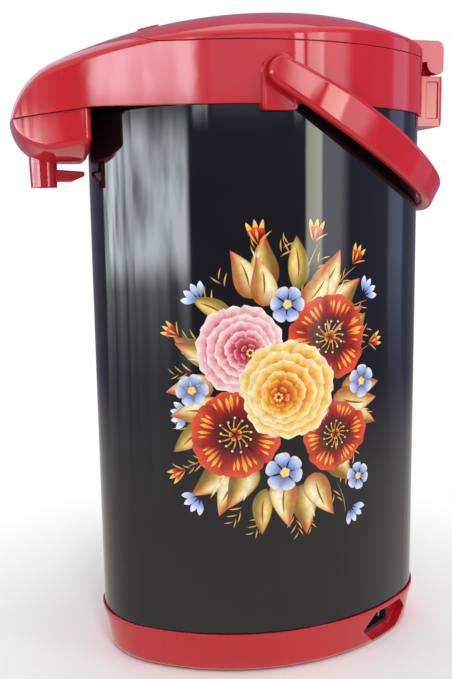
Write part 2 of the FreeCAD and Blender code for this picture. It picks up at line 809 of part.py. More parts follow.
# Power inlet: housing behind the recess, three blades, leads to the heater
inlet = body("inlet")
place(inlet, INLET_X, INLET_Y, "0", "inlet_angle")
sk = sketch(inlet, "YZ", "-recess_depth - inlet_length")
squared(sk, [("-inlet_half_width", INLET_LOW), ("inlet_half_width", INLET_LOW),
             ("inlet_half_width", INLET_HIGH), ("-inlet_half_width", INLET_HIGH)])
pad(inlet, sk, "inlet_length")
sk = sketch(inlet, "YZ", "-recess_depth")
SOCKET_X = "inlet_half_width - inlet_rim"
SOCKET_LOW = f"{INLET_LOW} + inlet_rim"
SOCKET_HIGH = f"{INLET_HIGH} - inlet_rim"
CHAMFER_Z = f"{SOCKET_HIGH} - socket_chamfer"
polygon(sk, [(f"-({SOCKET_X})", SOCKET_LOW), (SOCKET_X, SOCKET_LOW), (SOCKET_X, CHAMFER_Z),
             (f"{SOCKET_X} - socket_chamfer", SOCKET_HIGH),
             (f"socket_chamfer - ({SOCKET_X})", SOCKET_HIGH), (f"-({SOCKET_X})", CHAMFER_Z)])
pocket(inlet, sk, "socket_depth")

pins = []
for side in ("-1", "0", "1"):
    pin = body("pin")
    place(pin, INLET_X, INLET_Y, "0", "inlet_angle")
    sk = sketch(pin, "YZ", "-recess_depth - inlet_length - pin_tail")
    mid_z = f"{RECESS_MID} + (1 - abs({side})) * earth_lift - abs({side}) * live_drop"
    squared(sk, [(f"{side} * pin_pitch - pin_thick / 2", f"{mid_z} - pin_tall / 2"),
                 (f"{side} * pin_pitch + pin_thick / 2", f"{mid_z} - pin_tall / 2"),
                 (f"{side} * pin_pitch + pin_thick / 2", f"{mid_z} + pin_tall / 2"),
                 (f"{side} * pin_pitch - pin_thick / 2", f"{mid_z} + pin_tall / 2")])
    pad(pin, sk, "inlet_length + pin_tail - inlet_rim")
    pins.append(pin)
inlet_pins = part("inlet_pins", group("pins", pins))
part("inlet_housing", cut("inlet_cut", inlet, inlet_pins))

LEAD_BACK = "recess_depth + inlet_length + pin_tail"
LEAD_Z = f"{RECESS_MID} - live_drop"
TERMINAL_BACK = f"side_radius - {MIDDLE} * cos(inlet_angle * 1deg) - terminal_reach"
LEAD_LENGTH = f"{TERMINAL_BACK} - ({LEAD_BACK}) - terminal_radius"

leads = []
terminals = []
for side in ("-pin_pitch", "pin_pitch"):
    x, y = at_inlet(f"{TERMINAL_BACK} - terminal_radius", side)
    lead = body("lead")
    place(lead, x, y, LEAD_Z, "inlet_angle")
    sk = sketch(lead, "YZ")
    disc(sk, "lead_radius")
    pad(lead, sk, LEAD_LENGTH)
    leads.append(lead)
    x, y = at_inlet(TERMINAL_BACK, side)
    rise = f"pot_floor - heater_thickness - ({LEAD_Z}) + terminal_drop"
    terminals.append(cylinder("terminal", "terminal_radius", rise, x, y, f"{LEAD_Z} - terminal_drop"))
heater_leads = part("heater_leads", group("leads", leads))

# Heater under the pot
heater_disc = cylinder("heater_disc", "heater_radius", "heater_thickness", z="pot_floor - heater_thickness")
element = doc.addObject("Part::Torus", "element")
bind(element, "Radius1", "element_radius")
bind(element, "Radius2", "element_tube")
place(element, z="pot_floor - heater_thickness")
heater = fuse("heater", heater_disc, element, *terminals)
part("heater_plate", cut("heater_cut", heater, heater_leads))
thermostats = []
for side in ("-", ""):
    thermostats.append(cylinder("thermostat", "thermostat_radius", "thermostat_height",
                                f"{side}thermostat_pitch", "0",
                                "pot_floor - heater_thickness - thermostat_height"))
part("thermostats", group("thermostat_pair", thermostats))

# Inner pot
POT_TOP = "deck_height - pot_gasket_thickness"
pot = body("pot")
sk = sketch(pot, lift="pot_floor")
oval(sk, "-pot_gap")
pad(pot, sk, f"{POT_TOP} - pot_floor")
rounded(pot, "pot_edge_radius", below("pot_floor"))
sk = sketch(pot, lift=f"{POT_TOP} - pot_flange_thickness")
oval(sk, "-pot_gap + pot_flange")
pad(pot, sk, "pot_flange_thickness")

water = body("water")
sk = sketch(water, lift="pot_floor + pot_wall")
oval(sk, "-pot_gap - pot_wall")
pad(water, sk, f"{POT_TOP} - pot_floor")
rounded(water, "pot_edge_radius - pot_wall", below("pot_floor + pot_wall"))
outlet_hole = cylinder("outlet_hole", "pipe_radius", "3 * pot_wall", "0", "-outlet_y", "pot_floor - pot_wall")
riser_way = cylinder("riser_way", "riser_notch", "2 * cut_over", "0", "-riser_y - pipe_radius / 2",
                     f"{POT_TOP} - cut_over")
part("inner_pot", cut("pot_cut", pot, water, outlet_hole, riser_way))

pot_seal = body("pot_seal")
sk = sketch(pot_seal, lift="deck_height - pot_gasket_thickness")
oval(sk, "-pot_gap + pot_flange - 1")
oval(sk, "-pot_gap - pot_wall")
pad(pot_seal, sk, "pot_gasket_thickness")
part("pot_gasket", cut("pot_seal_cut", pot_seal, riser_way))


# Water path
def tube(name, points, bends):
    """Pipe along a path in the YZ plane: lines and half-turn bends, hollow."""
    owner = body(name)
    path = sketch(owner, "YZ")
    items = []
    for item in points:
        items.append(line(path, (val(item[0]), val(item[1])), (val(item[2]), val(item[3]))))
    first, last = items
    mid_y, mid_z, radius, upper = bends
    begin, stop = (0, math.pi) if upper else (math.pi, 2 * math.pi)
    bend = arc(path, val(mid_y), val(mid_z), val(radius), begin, stop)
    one, two = (1, 2) if upper else (2, 1)
    path.addConstraint(Sketcher.Constraint("Tangent", first, 2, bend, one))
    path.addConstraint(Sketcher.Constraint("Tangent", bend, two, last, 1))
    for item in (first, last):
        path.addConstraint(Sketcher.Constraint("Vertical", item))
    dimension(path, "DistanceX", (-1, 1, first, 1), points[0][0])
    dimension(path, "DistanceY", (-1, 1, first, 1), points[0][1])
    dimension(path, "DistanceX", (-1, 1, last, 2), points[1][2])
    dimension(path, "DistanceY", (-1, 1, last, 2), points[1][3])
    dimension(path, "DistanceY", (-1, 1, bend, 3), mid_z)
    profile = sketch(owner, lift=points[0][1])
    disc(profile, "pipe_radius", "0", points[0][0])
    disc(profile, "pipe_radius - pipe_wall", "0", points[0][0])
    doc.recompute()
    made = owner.newObject("PartDesign::AdditivePipe", name + "_pipe")
    made.Profile = profile
    made.Spine = (path, [])
    doc.recompute()
    return owner


bend_low = "(riser_y - outlet_y) / 2"
outlet_z = "pot_floor - outlet_drop"
part("outlet_elbow", tube("outlet", [("-outlet_y", "pot_floor + pot_wall", "-outlet_y", outlet_z),
                                     ("-riser_y", outlet_z, "-riser_y", "riser_low")],
                          ("-(riser_y + outlet_y) / 2", outlet_z, bend_low, False)))
bend_high = "(nozzle_y - riser_y) / 2"
arch_z = "riser_high + arch_rise"
spout_pipe = tube("spout", [("-riser_y", "riser_high", "-riser_y", arch_z),
                            ("-nozzle_y", arch_z, "-nozzle_y", "nozzle_low + nozzle_bore_depth")],
                  ("-(riser_y + nozzle_y) / 2", arch_z, bend_high, True))
part("spout_pipe", spout_pipe)

riser = body("riser")
sk = sketch(riser, lift="riser_low")
disc(sk, "pipe_radius", "0", "-riser_y")
disc(sk, "pipe_radius - pipe_wall", "0", "-riser_y")
pad(riser, sk, "riser_high - riser_low")
part("riser_tube", riser)

sleeves = []
for spot in ("riser_low", "riser_high - sleeve_half"):
    sleeve = body("sleeve")
    sk = sketch(sleeve, lift=f"{spot} - sleeve_half")
    disc(sk, "pipe_radius + sleeve_wall", "0", "-riser_y")
    disc(sk, "pipe_radius", "0", "-riser_y")
    pad(sleeve, sk, "2 * sleeve_half")
    sleeves.append(sleeve)
part("hose_sleeves", group("sleeve_pair", sleeves))


# Limits that lie clear of the whole upper part
BEHIND = "hinge_rear_y + cut_over"
AHEAD = "-nose_reach - cut_over"
ABOVE = "top_height + cut_over"
BELOW = "cover_low - cut_over"


# Shoulder with the spout hood, and the lid: one outer form parted along the seam
def top_form(name, grow, inset, low, crease):
    made = body(name)
    sk = sketch(made, lift=low)
    nose_outline(sk, grow)
    pad(made, sk, f"top_height + cut_over - ({low})")
    turned_cut(made, dome_outline, inset)
    if crease:
        rounded(made, "crease_radius", wall_meets_dome)
    return made


def above_seam(owner, gap):
    sk = sketch(owner, "YZ")
    squared(sk, [(BEHIND, f"seam_height + {gap}"), (BEHIND, ABOVE), (f"{gap} - seam_front_y", ABOVE),
                 (f"{gap} - seam_front_y", f"seam_height + {gap}", f"seam_corner - {gap}")])
    return sk


skin = top_form("shoulder_skin", SHOULDER_GROW, "0", "rim_height - nose_drop", True)
pocket(skin, above_seam(skin, "-seam_gap / 2"), "cut_span", "Symmetric")
sk = sketch(skin, "YZ")
polygon(sk, [(BEHIND, "rim_height"), ("-cover_rear_y", "rim_height"),
             ("-nose_reach", "rim_height - nose_drop"), (AHEAD, "rim_height - nose_drop"),
             (AHEAD, BELOW), (BEHIND, BELOW)])
pocket(skin, sk, "cut_span", "Symmetric")
core = top_form("shoulder_core", "skirt_clearance", "shoulder_wall", "cover_low", False)

deck = body("deck")
sk = sketch(deck, lift="deck_height")
oval(sk, "skirt_clearance + shoulder_wall / 2")
mouth(sk)
pad(deck, sk, "deck_thickness")
sk = sketch(deck, lift="deck_height + deck_thickness")
mouth(sk, "collar_wall")
mouth(sk)
pad(deck, sk, "collar_height")
well = box("well_box", "cut_span", "well_wall", "cut_span", "-cut_span / 2",
           "-seam_front_y - seam_gap / 2 - well_wall", "deck_height + deck_thickness / 2")
well_trim = common("well_trim", well, skin)
shoulder_shell = cut("shoulder_shell", skin, core)
shoulder = fuse("shoulder_fuse", shoulder_shell, cut("deck_cut", deck, riser_way), well_trim)

# Spout cover under the hood: upright walls that end in a crowned belly
def cover_form(name, grow, inset):
    made = body(name)
    sk = sketch(made, lift="cover_low - cover_wall")
    nose_outline(sk, grow)
    pad(made, sk, "cover_drop + 2 * cover_wall")
    sk = sketch(made, "YZ")
    rear = f"-cover_rear_y - {inset}"
    squared(sk, [(rear, BELOW), (BEHIND, BELOW), (BEHIND, ABOVE), (rear, ABOVE)])
    pocket(made, sk, "cut_span", "Symmetric")
    turned_cut(made, belly_outline, inset)
    return made


cover = cover_form("cover", f"{SHOULDER_GROW} - cover_inset", "0")
rounded(cover, "cover_crease", lambda e, s: e.BoundBox.ZMin < val("rim_height"))
sk = sketch(cover, "YZ")
polygon(sk, [(BEHIND, "rim_height - cover_join_gap"), (BEHIND, ABOVE), (AHEAD, ABOVE),
             (AHEAD, "rim_height - nose_drop - cover_join_gap"),
             ("-nose_reach", "rim_height - nose_drop - cover_join_gap"),
             ("-cover_rear_y", "rim_height - cover_join_gap")])
pocket(cover, sk, "cut_span", "Symmetric")
cover_core = cover_form("cover_core", f"{SHOULDER_GROW} - cover_inset - cover_wall", "cover_wall")
nozzle_hole = cylinder("nozzle_hole", "nozzle_high_radius", "cover_front_arc + cut_over", "0", "-nozzle_y",
                       "cover_low - cut_over")
part("spout_cover", cut("cover_cut", cover, cover_core, nozzle_hole))

# Nozzle with its web
nozzle_cone = doc.addObject("Part::Cone", "nozzle_cone")
bind(nozzle_cone, "Radius1", "nozzle_low_radius")
bind(nozzle_cone, "Radius2", "nozzle_high_radius")
bind(nozzle_cone, "Height", "cover_low - nozzle_low")
place(nozzle_cone, "0", "-nozzle_y", "nozzle_low")
nozzle_neck = cylinder("nozzle_neck", "nozzle_high_radius", "cover_front_arc", "0", "-nozzle_y", "cover_low")
flange_disc = cylinder("flange_disc", "nozzle_flange", "cover_front_arc", "0", "-nozzle_y", "cover_low")
nozzle_flange = common("nozzle_flange", flange_disc, cover_core)
above_flange = cover_form("above_flange", f"{SHOULDER_GROW} - cover_inset - cover_wall",
                          "(cover_wall + nozzle_flange_thickness)")
web = body("web")
sk = sketch(web, "YZ")
polygon(sk, [("-nozzle_y", "web_high"), ("-web_rear_y", "web_high - web_top_fall"),
             ("-web_rear_y", "web_low + web_tip_rise"), ("-web_rear_y - web_tip_run", "web_low"),
             ("-nozzle_y", "web_low")])
pad(web, sk, "2 * web_half_width", "Symmetric")
rounded(web, "web_edge", lambda e, s: True)
nozzle_bore = cylinder("nozzle_outlet", "nozzle_bore", "nozzle_bore_depth", "0", "-nozzle_y", "nozzle_low")
nozzle_socket = cylinder("nozzle_socket", "pipe_radius", "rim_height - nozzle_low", "0", "-nozzle_y",
                         "nozzle_low + nozzle_bore_depth - pipe_seat")
nozzle_solid = fuse("nozzle_fuse", nozzle_cone, nozzle_neck, nozzle_flange, web)
part("spout_nozzle", cut("nozzle_cut", nozzle_solid, above_flange, nozzle_bore, nozzle_socket))

# What sits against the shoulder's and the shell's outside
against = body("against")
sk = sketch(against, lift="rim_height")
oval(sk, SHOULDER_GROW)
pad(against, sk, "top_height - rim_height")
sk = sketch(against, lift="cover_low")
oval(sk, "ear_shell_gap")
pad(against, sk, "cover_drop")


# Handle ears and pivots
def ear_outline(sk, inset):
    radius = val(f"ear_half_width - {inset}")
    y, z, low_z = -val("pivot_y"), val("pivot_z"), val(f"ear_low + {inset}")
    arch = arc(sk, y, z, radius, 0, math.pi)
    left = line(sk, (y - radius, z), (y - radius, low_z))
    foot = line(sk, (y - radius, low_z), (y + radius, low_z))
    right = line(sk, (y + radius, low_z), (y + radius, z))
    chain(sk, [arch, left, foot, right], [True, False, False, True])
    sk.addConstraint(Sketcher.Constraint("Vertical", left))
    sk.addConstraint(Sketcher.Constraint("Horizontal", foot))
    dimension(sk, "Radius", (arch,), f"ear_half_width - {inset}")
    dimension(sk, "DistanceX", (-1, 1, arch, 3), "-pivot_y")
    dimension(sk, "DistanceY", (-1, 1, arch, 3), "pivot_z")
    dimension(sk, "DistanceY", (-1, 1, foot, 1), f"ear_low + {inset}")


for label, sign in (("right", ""), ("left", "-")):
    ear = body("ear_" + label)
    sk = sketch(ear, "YZ", f"{sign}(ear_face - ear_depth)")
    ear_outline(sk, "0")
    pad(ear, sk, "ear_depth", back=sign == "-")
    rounded(ear, "ear_foot_radius", lambda e, s: below("ear_low")(e, s) and e.BoundBox.XLength > 1)
    sk = sketch(ear, "YZ", f"{sign}ear_face")
    ear_outline(sk, "ear_rim")
    pocket(ear, sk, "ear_sink", up=sign == "-")
    pivot = cylinder("pivot_" + label, "pivot_radius", "pivot_length", f"{sign}pivot_root", "-pivot_y",
                     "pivot_z", f"{sign}90", Vector(0, 1, 0))
    part("handle_ear_" + label, cut("ear_cut_" + label, ear, against, pivot))
    part("handle_pivot_" + label, pivot)

# Carry handle: a band that follows a half oval, cut to its side view
HANDLE_IN = "ear_face + handle_gap"
HANDLE_END = "handle_reach + handle_thickness"


def bail_outline(sk, grow, tail):
    wide, tip = val(f"{HANDLE_IN} + {grow}"), val(f"handle_end_radius + {grow}")
    straight, low = val("handle_straight"), val(tail)
    reach = val("handle_reach - handle_end_radius") - straight
    flank = (wide ** 2 + reach ** 2 - tip ** 2) / (2 * (wide - tip))
    offset = flank - wide
    join = math.atan2(reach, offset)
    right = line(sk, (wide, low), (wide, straight))
    right_flank = arc(sk, -offset, straight, flank, 0, join)
    end = arc(sk, 0, straight + reach, tip, join, math.pi - join)
    left_flank = arc(sk, offset, straight, flank, math.pi - join, math.pi)
    left = line(sk, (-wide, straight), (-wide, low))
    foot = line(sk, (-wide, low), (wide, low))
    chain(sk, [right, right_flank, end, left_flank, left, foot], [True] * 4 + [False] * 2)
    sk.addConstraint(Sketcher.Constraint("Vertical", right))
    sk.addConstraint(Sketcher.Constraint("Vertical", left))
    sk.addConstraint(Sketcher.Constraint("Horizontal", foot))
    sk.addConstraint(Sketcher.Constraint("PointOnObject", end, 3, -2))
    dimension(sk, "DistanceX", (-1, 1, right, 1), f"{HANDLE_IN} + {grow}")
    dimension(sk, "DistanceX", (-1, 1, left, 1), f"-({HANDLE_IN} + {grow})")
    dimension(sk, "DistanceY", (-1, 1, foot, 1), tail)
    dimension(sk, "DistanceY", (-1, 1, right, 2), "handle_straight")
    dimension(sk, "DistanceY", (-1, 1, left, 1), "handle_straight")
    dimension(sk, "DistanceY", (-1, 1, end, 3), "handle_reach - handle_end_radius")
    dimension(sk, "Radius", (end,), f"handle_end_radius + {grow}")


handle = body("handle")
place(handle, "0", "-pivot_y", "pivot_z", "-handle_rest_angle", Vector(1, 0, 0))
sk = sketch(handle, lift="-handle_thickness - handle_hub_radius")
TAIL = "-2 * handle_hub_radius"
bail_outline(sk, "handle_thickness", TAIL)
pad(handle, sk, "2 * (handle_thickness + handle_hub_radius)")
sk = sketch(handle, lift="-handle_thickness - handle_hub_radius")
bail_outline(sk, "0", f"2 * ({TAIL})")
pocket(handle, sk, "2 * (handle_thickness + handle_hub_radius)", up=True)
sk = sketch(handle, "YZ")
squared(sk, [("-handle_reach", "-handle_reach"), (f"{HANDLE_END} + cut_over", "-handle_reach"),
             (f"{HANDLE_END} + cut_over", "handle_reach"), ("-handle_reach", "handle_reach")])
hub = val("handle_hub_radius")
end_y, end_z = val(f"{HANDLE_END} + handle_edge"), val("handle_bar_half")
bow = val("handle_bow")
chord = math.hypot(end_y, hub - end_z)
sag_y, sag_z = (hub - end_z) / chord, end_y / chord
depth = math.sqrt(bow ** 2 - chord ** 2 / 4)
bow_y, bow_z = end_y / 2 - sag_y * depth, (hub + end_z) / 2 - sag_z * depth
near, far = math.atan2(end_z - bow_z, end_y - bow_y), math.atan2(hub - bow_z, -bow_y)
upper = arc(sk, bow_y, bow_z, bow, near, far)
round_end = arc(sk, 0, 0, hub, math.pi / 2, 3 * math.pi / 2)
lower = arc(sk, bow_y, -bow_z, bow, -far, -near)
close = line(sk, (end_y, -end_z), (end_y, end_z))
chain(sk, [upper, round_end, lower, close], [False] * 4)
sk.addConstraint(Sketcher.Constraint("Coincident", round_end, 3, -1, 1))
dimension(sk, "Radius", (round_end,), "handle_hub_radius")
for item, spot in ((upper, 2), (lower, 1)):
    sk.addConstraint(Sketcher.Constraint("PointOnObject", item, spot, -2))
    dimension(sk, "Radius", (item,), "handle_bow")
for item, spot, sign in ((upper, 1, ""), (lower, 2, "-")):
    dimension(sk, "DistanceX", (-1, 1, item, spot), f"{HANDLE_END} + handle_edge")
    dimension(sk, "DistanceY", (-1, 1, item, spot), f"{sign}handle_bar_half")
pocket(handle, sk, "cut_span", "Symmetric")
rounded(handle, "handle_edge", lambda e, s: True)
sk = sketch(handle, "YZ")
disc(sk, "pivot_radius + pivot_clearance")
pocket(handle, sk, "2 * (pivot_root + pivot_length + pivot_end_gap)", "Symmetric")
part("carry_handle", handle)

# Hinge bracket and pin
bracket = body("bracket")
sk = sketch(bracket, "YZ")
polygon(sk, [("bracket_root_y", "bracket_low"), ("hinge_rear_y - bracket_chamfer", "bracket_low"),
             ("hinge_rear_y", "bracket_low + bracket_chamfer_rise"), ("hinge_rear_y", "bracket_high"),
             ("bracket_root_y", "bracket_high")])
pad(bracket, sk, "2 * hinge_half_width", "Symmetric")
REAR_EDGE = val("hinge_rear_y") - 0.01
rounded(bracket, "bracket_edge", lambda e, s: e.BoundBox.ZLength > 10 and middle(e).y > REAR_EDGE)
PANEL_FRONT = "half_depth + bracket_panel"
PANEL_REAR = "hinge_rear_y - bracket_panel"
PANEL_LOW = "bracket_low + bracket_panel + bracket_chamfer"
PANEL_HIGH = "bracket_high - bracket_panel"
for sign in ("", "-"):
    sk = sketch(bracket, "YZ", f"{sign}hinge_half_width")
    squared(sk, [(PANEL_FRONT, PANEL_LOW), (PANEL_REAR, PANEL_LOW),
                 (PANEL_REAR, PANEL_HIGH), (PANEL_FRONT, PANEL_HIGH)])
    pocket(bracket, sk, "bracket_panel_sink", up=sign == "-")
TONGUE = "2 * (hinge_half_width - cheek_width - cheek_gap)"
sk = sketch(bracket, "YZ")
KNUCKLE_ROOT = "bracket_high - bracket_chamfer"
squared(sk, [("hinge_y - knuckle_radius", KNUCKLE_ROOT), ("hinge_y + cheek_gap", KNUCKLE_ROOT),
             ("hinge_y + cheek_gap", "hinge_z"), ("hinge_y - knuckle_radius", "hinge_z")])
pad(bracket, sk, TONGUE, "Symmetric")
sk = sketch(bracket, "YZ")
disc(sk, "knuckle_radius", "hinge_y", "hinge_z")
pad(bracket, sk, TONGUE, "Symmetric")
sk = sketch(bracket, "YZ")
disc(sk, "hinge_pin_radius", "hinge_y", "hinge_z")
pocket(bracket, sk, "cut_span", "Symmetric")
part("hinge_bracket", cut("bracket_cut", bracket, against))
PIN_LENGTH = "2 * hinge_half_width - hinge_pin_cover"
part("hinge_pin", cylinder("hinge_pin_bar", "hinge_pin_radius", PIN_LENGTH, "-hinge_half_width", "hinge_y",
                           "hinge_z", "90", Vector(0, 1, 0)))

# Lid shell
lid_skin = top_form("lid_skin", SHOULDER_GROW, "0", "seam_height - liner_rim", True)
lid_keep = body("lid_keep")
pad(lid_keep, above_seam(lid_keep, "seam_gap / 2"), "cut_span", "Symmetric")
lid_solid = common("lid_solid", lid_skin, lid_keep)
lid_core = top_form("lid_core", f"{SHOULDER_GROW} - lid_wall", "lid_wall", "deck_height", False)
sk = sketch(lid_core, "YZ")
LID_FRONT_IN = "seam_gap / 2 + lid_wall - seam_front_y"
squared(sk, [(LID_FRONT_IN, BELOW), (LID_FRONT_IN, ABOVE), (AHEAD, ABOVE), (AHEAD, BELOW)])
pocket(lid_core, sk, "cut_span", "Symmetric")

lug = body("lug")
sk = sketch(lug, "YZ")
squared(sk, [("bracket_root_y", "seam_height + seam_gap / 2"), ("hinge_rear_y", "seam_height + seam_gap / 2"),
             ("hinge_rear_y", "bridge_high", "bridge_edge"), ("bracket_root_y", "bridge_high")])
pad(lug, sk, "2 * hinge_half_width", "Symmetric")
sk = sketch(lug, "YZ")
disc(sk, "cheek_radius", "hinge_y", "hinge_z")
pad(lug, sk, "2 * hinge_half_width", "Symmetric")
sk = sketch(lug, "YZ")
CHEEK_LOW = "hinge_z - cheek_drop"
squared(sk, [("hinge_y", CHEEK_LOW), ("hinge_rear_y", CHEEK_LOW, "cheek_corner"),
             ("hinge_rear_y", "bridge_low"), ("hinge_y", "bridge_low")])
pad(lug, sk, "2 * hinge_half_width", "Symmetric")
sk = sketch(lug, "YZ")
LUG_SLOT = "hinge_y - cheek_radius"
squared(sk, [(LUG_SLOT, BELOW), (BEHIND, BELOW), (BEHIND, "bridge_low"), (LUG_SLOT, "bridge_low")])
pocket(lug, sk, "2 * (hinge_half_width - cheek_width)", "Symmetric")
pin_way = cylinder("hinge_pin_way", "hinge_pin_radius + hinge_pin_clearance", f"{PIN_LENGTH} + cut_over",
                   "-hinge_half_width - cut_over", "hinge_y", "hinge_z", "90", Vector(0, 1, 0))
lug_clear = cut("lug_clear", lug, lid_core, pin_way)

SLEEVE_RADIUS = "pump_radius + pump_clearance + pump_sleeve_wall"
sleeve_bar = cylinder("pump_sleeve", SLEEVE_RADIUS, "sleeve_depth + cut_over", "0", "-pump_y", "sleeve_low")
bosses = []
boss_spots = [(f"{a}boss_front_x", "-boss_front_y") for a in ("", "-")]
boss_spots += [(f"{a}boss_rear_x", "boss_rear_y") for a in ("", "-")]
for x, y in boss_spots:
    boss = cylinder("lid_boss", "boss_radius", "top_height - liner_low", x, y, "liner_low + liner_floor")
    bosses.append(boss)
liner_screws = part("liner_screws", screws("liner_screw_set", boss_spots, "liner_low", "liner_screw_length"))

CATCH_Z = "top_height - front_arc + sqrt(front_arc^2 - (apex_y + catch_y)^2)"
CATCH_TILT = "asin((apex_y + catch_y) / front_arc) / 1deg"
LOCK_Z = "top_height - rear_arc + sqrt(rear_arc^2 - (lock_y - apex_y)^2)"
LOCK_TILT = "-asin((lock_y - apex_y) / rear_arc) / 1deg"
ACROSS = Vector(1, 0, 0)


def slider_block(name, y, z, tilt, outline, low, high):
    made = body(name)
    place(made, "0", y, z, tilt, ACROSS)
    sk = sketch(made, lift=low)
    x0, x1, y0, y1 = outline
    squared(sk, [(x0, y0), (x1, y0), (x1, y1), (x0, y1)])
    pad(made, sk, f"{high} - ({low})")
    return made


catch_at = ("-catch_y", CATCH_Z, CATCH_TILT)
lock_at = ("lock_y", LOCK_Z, LOCK_TILT)
CATCH_W = "catch_half_width + slider_clearance"
CATCH_B = "-catch_half_length - slider_clearance"
CATCH_F = "catch_half_length + catch_travel + slider_clearance"
LOCK_L = "-lock_half_width - lock_travel / 2 - slider_clearance"
LOCK_R = "lock_half_width + lock_travel / 2 + slider_clearance"
LOCK_H = "lock_half_length + slider_clearance"
BACKING = "-slider_sink - slider_backing"


def widened(outline, extra):
    x0, x1, y0, y1 = outline
    return f"{x0} - {extra}", f"{x1} + {extra}", f"{y0} - {extra}", f"{y1} + {extra}"


CATCH_ROOM = (f"-({CATCH_W})", CATCH_W, CATCH_B, CATCH_F)
LOCK_ROOM = (LOCK_L, LOCK_R, f"-({LOCK_H})", LOCK_H)
CATCH_FRAME = widened(CATCH_ROOM, "slider_frame")
LOCK_FRAME = widened(LOCK_ROOM, "slider_frame")
catch_boss = slider_block("catch_boss", *catch_at, CATCH_FRAME, BACKING, "slider_frame")
lock_boss = slider_block("lock_boss", *lock_at, LOCK_FRAME, BACKING, "slider_frame")
catch_room = slider_block("catch_room", *catch_at, CATCH_ROOM, "-slider_sink", "cut_over")
lock_room = slider_block("lock_room", *lock_at, LOCK_ROOM, "-slider_sink", "cut_over")
STEM_C = "catch_stem_half + slider_clearance"
STEM_L = "lock_stem_half + slider_clearance + lock_travel / 2"
STEM_H = "slider_stem_half + slider_clearance"
CATCH_SLOT = (f"-({STEM_C})", STEM_C, f"-({STEM_H})", f"{STEM_H} + catch_travel")
LOCK_SLOT = (f"-({STEM_L})", STEM_L, f"-({STEM_H})", STEM_H)
catch_slot = slider_block("catch_slot", *catch_at, CATCH_SLOT, f"{BACKING} - slider_backing", "0")
lock_slot = slider_block("lock_slot", *lock_at, LOCK_SLOT, f"{BACKING} - slider_backing", "0")
TONGUE_TOP = f"{BACKING} - slider_clearance"
TONGUE_LOW = f"{BACKING} - slider_clearance - slider_keeper"
TONGUE_W = "catch_tongue_half + slider_clearance"
TONGUE_WAY = (f"-({TONGUE_W})", TONGUE_W, "-cut_over - slider_frame", "0")
tongue_way = slider_block("tongue_way", *catch_at, TONGUE_WAY, f"{TONGUE_LOW} - slider_clearance",
                          f"{TONGUE_TOP} + slider_clearance")

vents = []
for step in ("-1", "0", "1"):
    front = f"vent_y + {step} * vent_pitch - vent_slot / 2"
    vents.append(box("vent", "2 * vent_half_width", "vent_slot", "cut_over + lid_rise", "-vent_half_width",
                     front, "seam_height + seam_gap + lid_wall"))

lid_trim = top_form("lid_trim", f"{SHOULDER_GROW} - lid_wall / 2", "lid_wall / 2", "deck_height", False)
inside = fuse("lid_inside", sleeve_bar, *bosses, catch_boss, lock_boss)
inside_trim = common("lid_inside_trim", inside, lid_trim)
lid_made = fuse("lid_made", cut("lid_hollow", lid_solid, lid_core), lug_clear, inside_trim)
pump_hole = cylinder("pump_hole", "pump_radius + pump_clearance", "sleeve_depth + 2 * cut_over", "0",
                     "-pump_y", "sleeve_low - cut_over")
slider_rooms = (catch_room, lock_room, catch_slot, lock_slot, tongue_way)
part("lid_shell", cut("lid_cut", lid_made, pump_hole, *slider_rooms, *vents, liner_screws))
part("shoulder", cut("shoulder_cut", shoulder, tongue_way))

# Sliders
PAD_LOW = "slider_float - slider_sink"
STEM_HIGH = "2 * slider_float - slider_sink"
RIDGE_LOW = "slider_proud - slider_float"
RIDGE_HIGH = "slider_proud + slider_ridge"
CATCH_PAD = ("-catch_half_width", "catch_half_width", "-catch_half_length", "catch_half_length")
CATCH_STEM = ("-catch_stem_half", "catch_stem_half", "-slider_stem_half", "slider_stem_half")
TONGUE_TIP = "(catch_y - seam_front_y) / cos(asin((apex_y + catch_y) / front_arc)) - collar_wall / 2"
CATCH_TONGUE = ("-catch_tongue_half", "catch_tongue_half", TONGUE_TIP, "slider_stem_half")
catch_pad = slider_block("catch_pad", *catch_at, CATCH_PAD, PAD_LOW, "slider_proud")
catch_stem = slider_block("catch_stem", *catch_at, CATCH_STEM, TONGUE_LOW, STEM_HIGH)
catch_tongue = slider_block("catch_tongue", *catch_at, CATCH_TONGUE, TONGUE_LOW, TONGUE_TOP)
catch_ridges = []
for step in ("-1", "0", "1"):
    along = f"{step} * slider_ridge_pitch"
    ridge = ("slider_ridge_margin - catch_half_width", "catch_half_width - slider_ridge_margin",
             f"{along} - slider_ridge_half", f"{along} + slider_ridge_half")
    catch_ridges.append(slider_block("catch_ridge", *catch_at, ridge, RIDGE_LOW, RIDGE_HIGH))
part("lid_catch", fuse("catch_fuse", catch_pad, catch_stem, catch_tongue, *catch_ridges))


def lock_block(name, middle_x, half_x, half_y, low, high):
    rest = f"{middle_x} - lock_travel / 2"
    outline = (f"{rest} - {half_x}", f"{rest} + {half_x}", f"-{half_y}", half_y)
    return slider_block(name, *lock_at, outline, low, high)


RIDGE_HALF = "(lock_half_length - slider_ridge_margin)"
lock_pad = lock_block("lock_pad", "0", "lock_half_width", "lock_half_length", PAD_LOW, "slider_proud")
lock_stem = lock_block("lock_stem", "0", "lock_stem_half", "slider_stem_half", TONGUE_LOW, STEM_HIGH)
lock_key = lock_block("lock_key", "0", "lock_stem_half", "lock_key_half", TONGUE_LOW, TONGUE_TOP)
lock_ridges = []
for step in ("-1", "0", "1"):
    across = f"{step} * slider_ridge_pitch"
    ridge = lock_block("lock_ridge", across, "slider_ridge_half", RIDGE_HALF, RIDGE_LOW, RIDGE_HIGH)
    lock_ridges.append(ridge)
part("pump_lock", fuse("lock_fuse", lock_pad, lock_stem, lock_key, *lock_ridges))

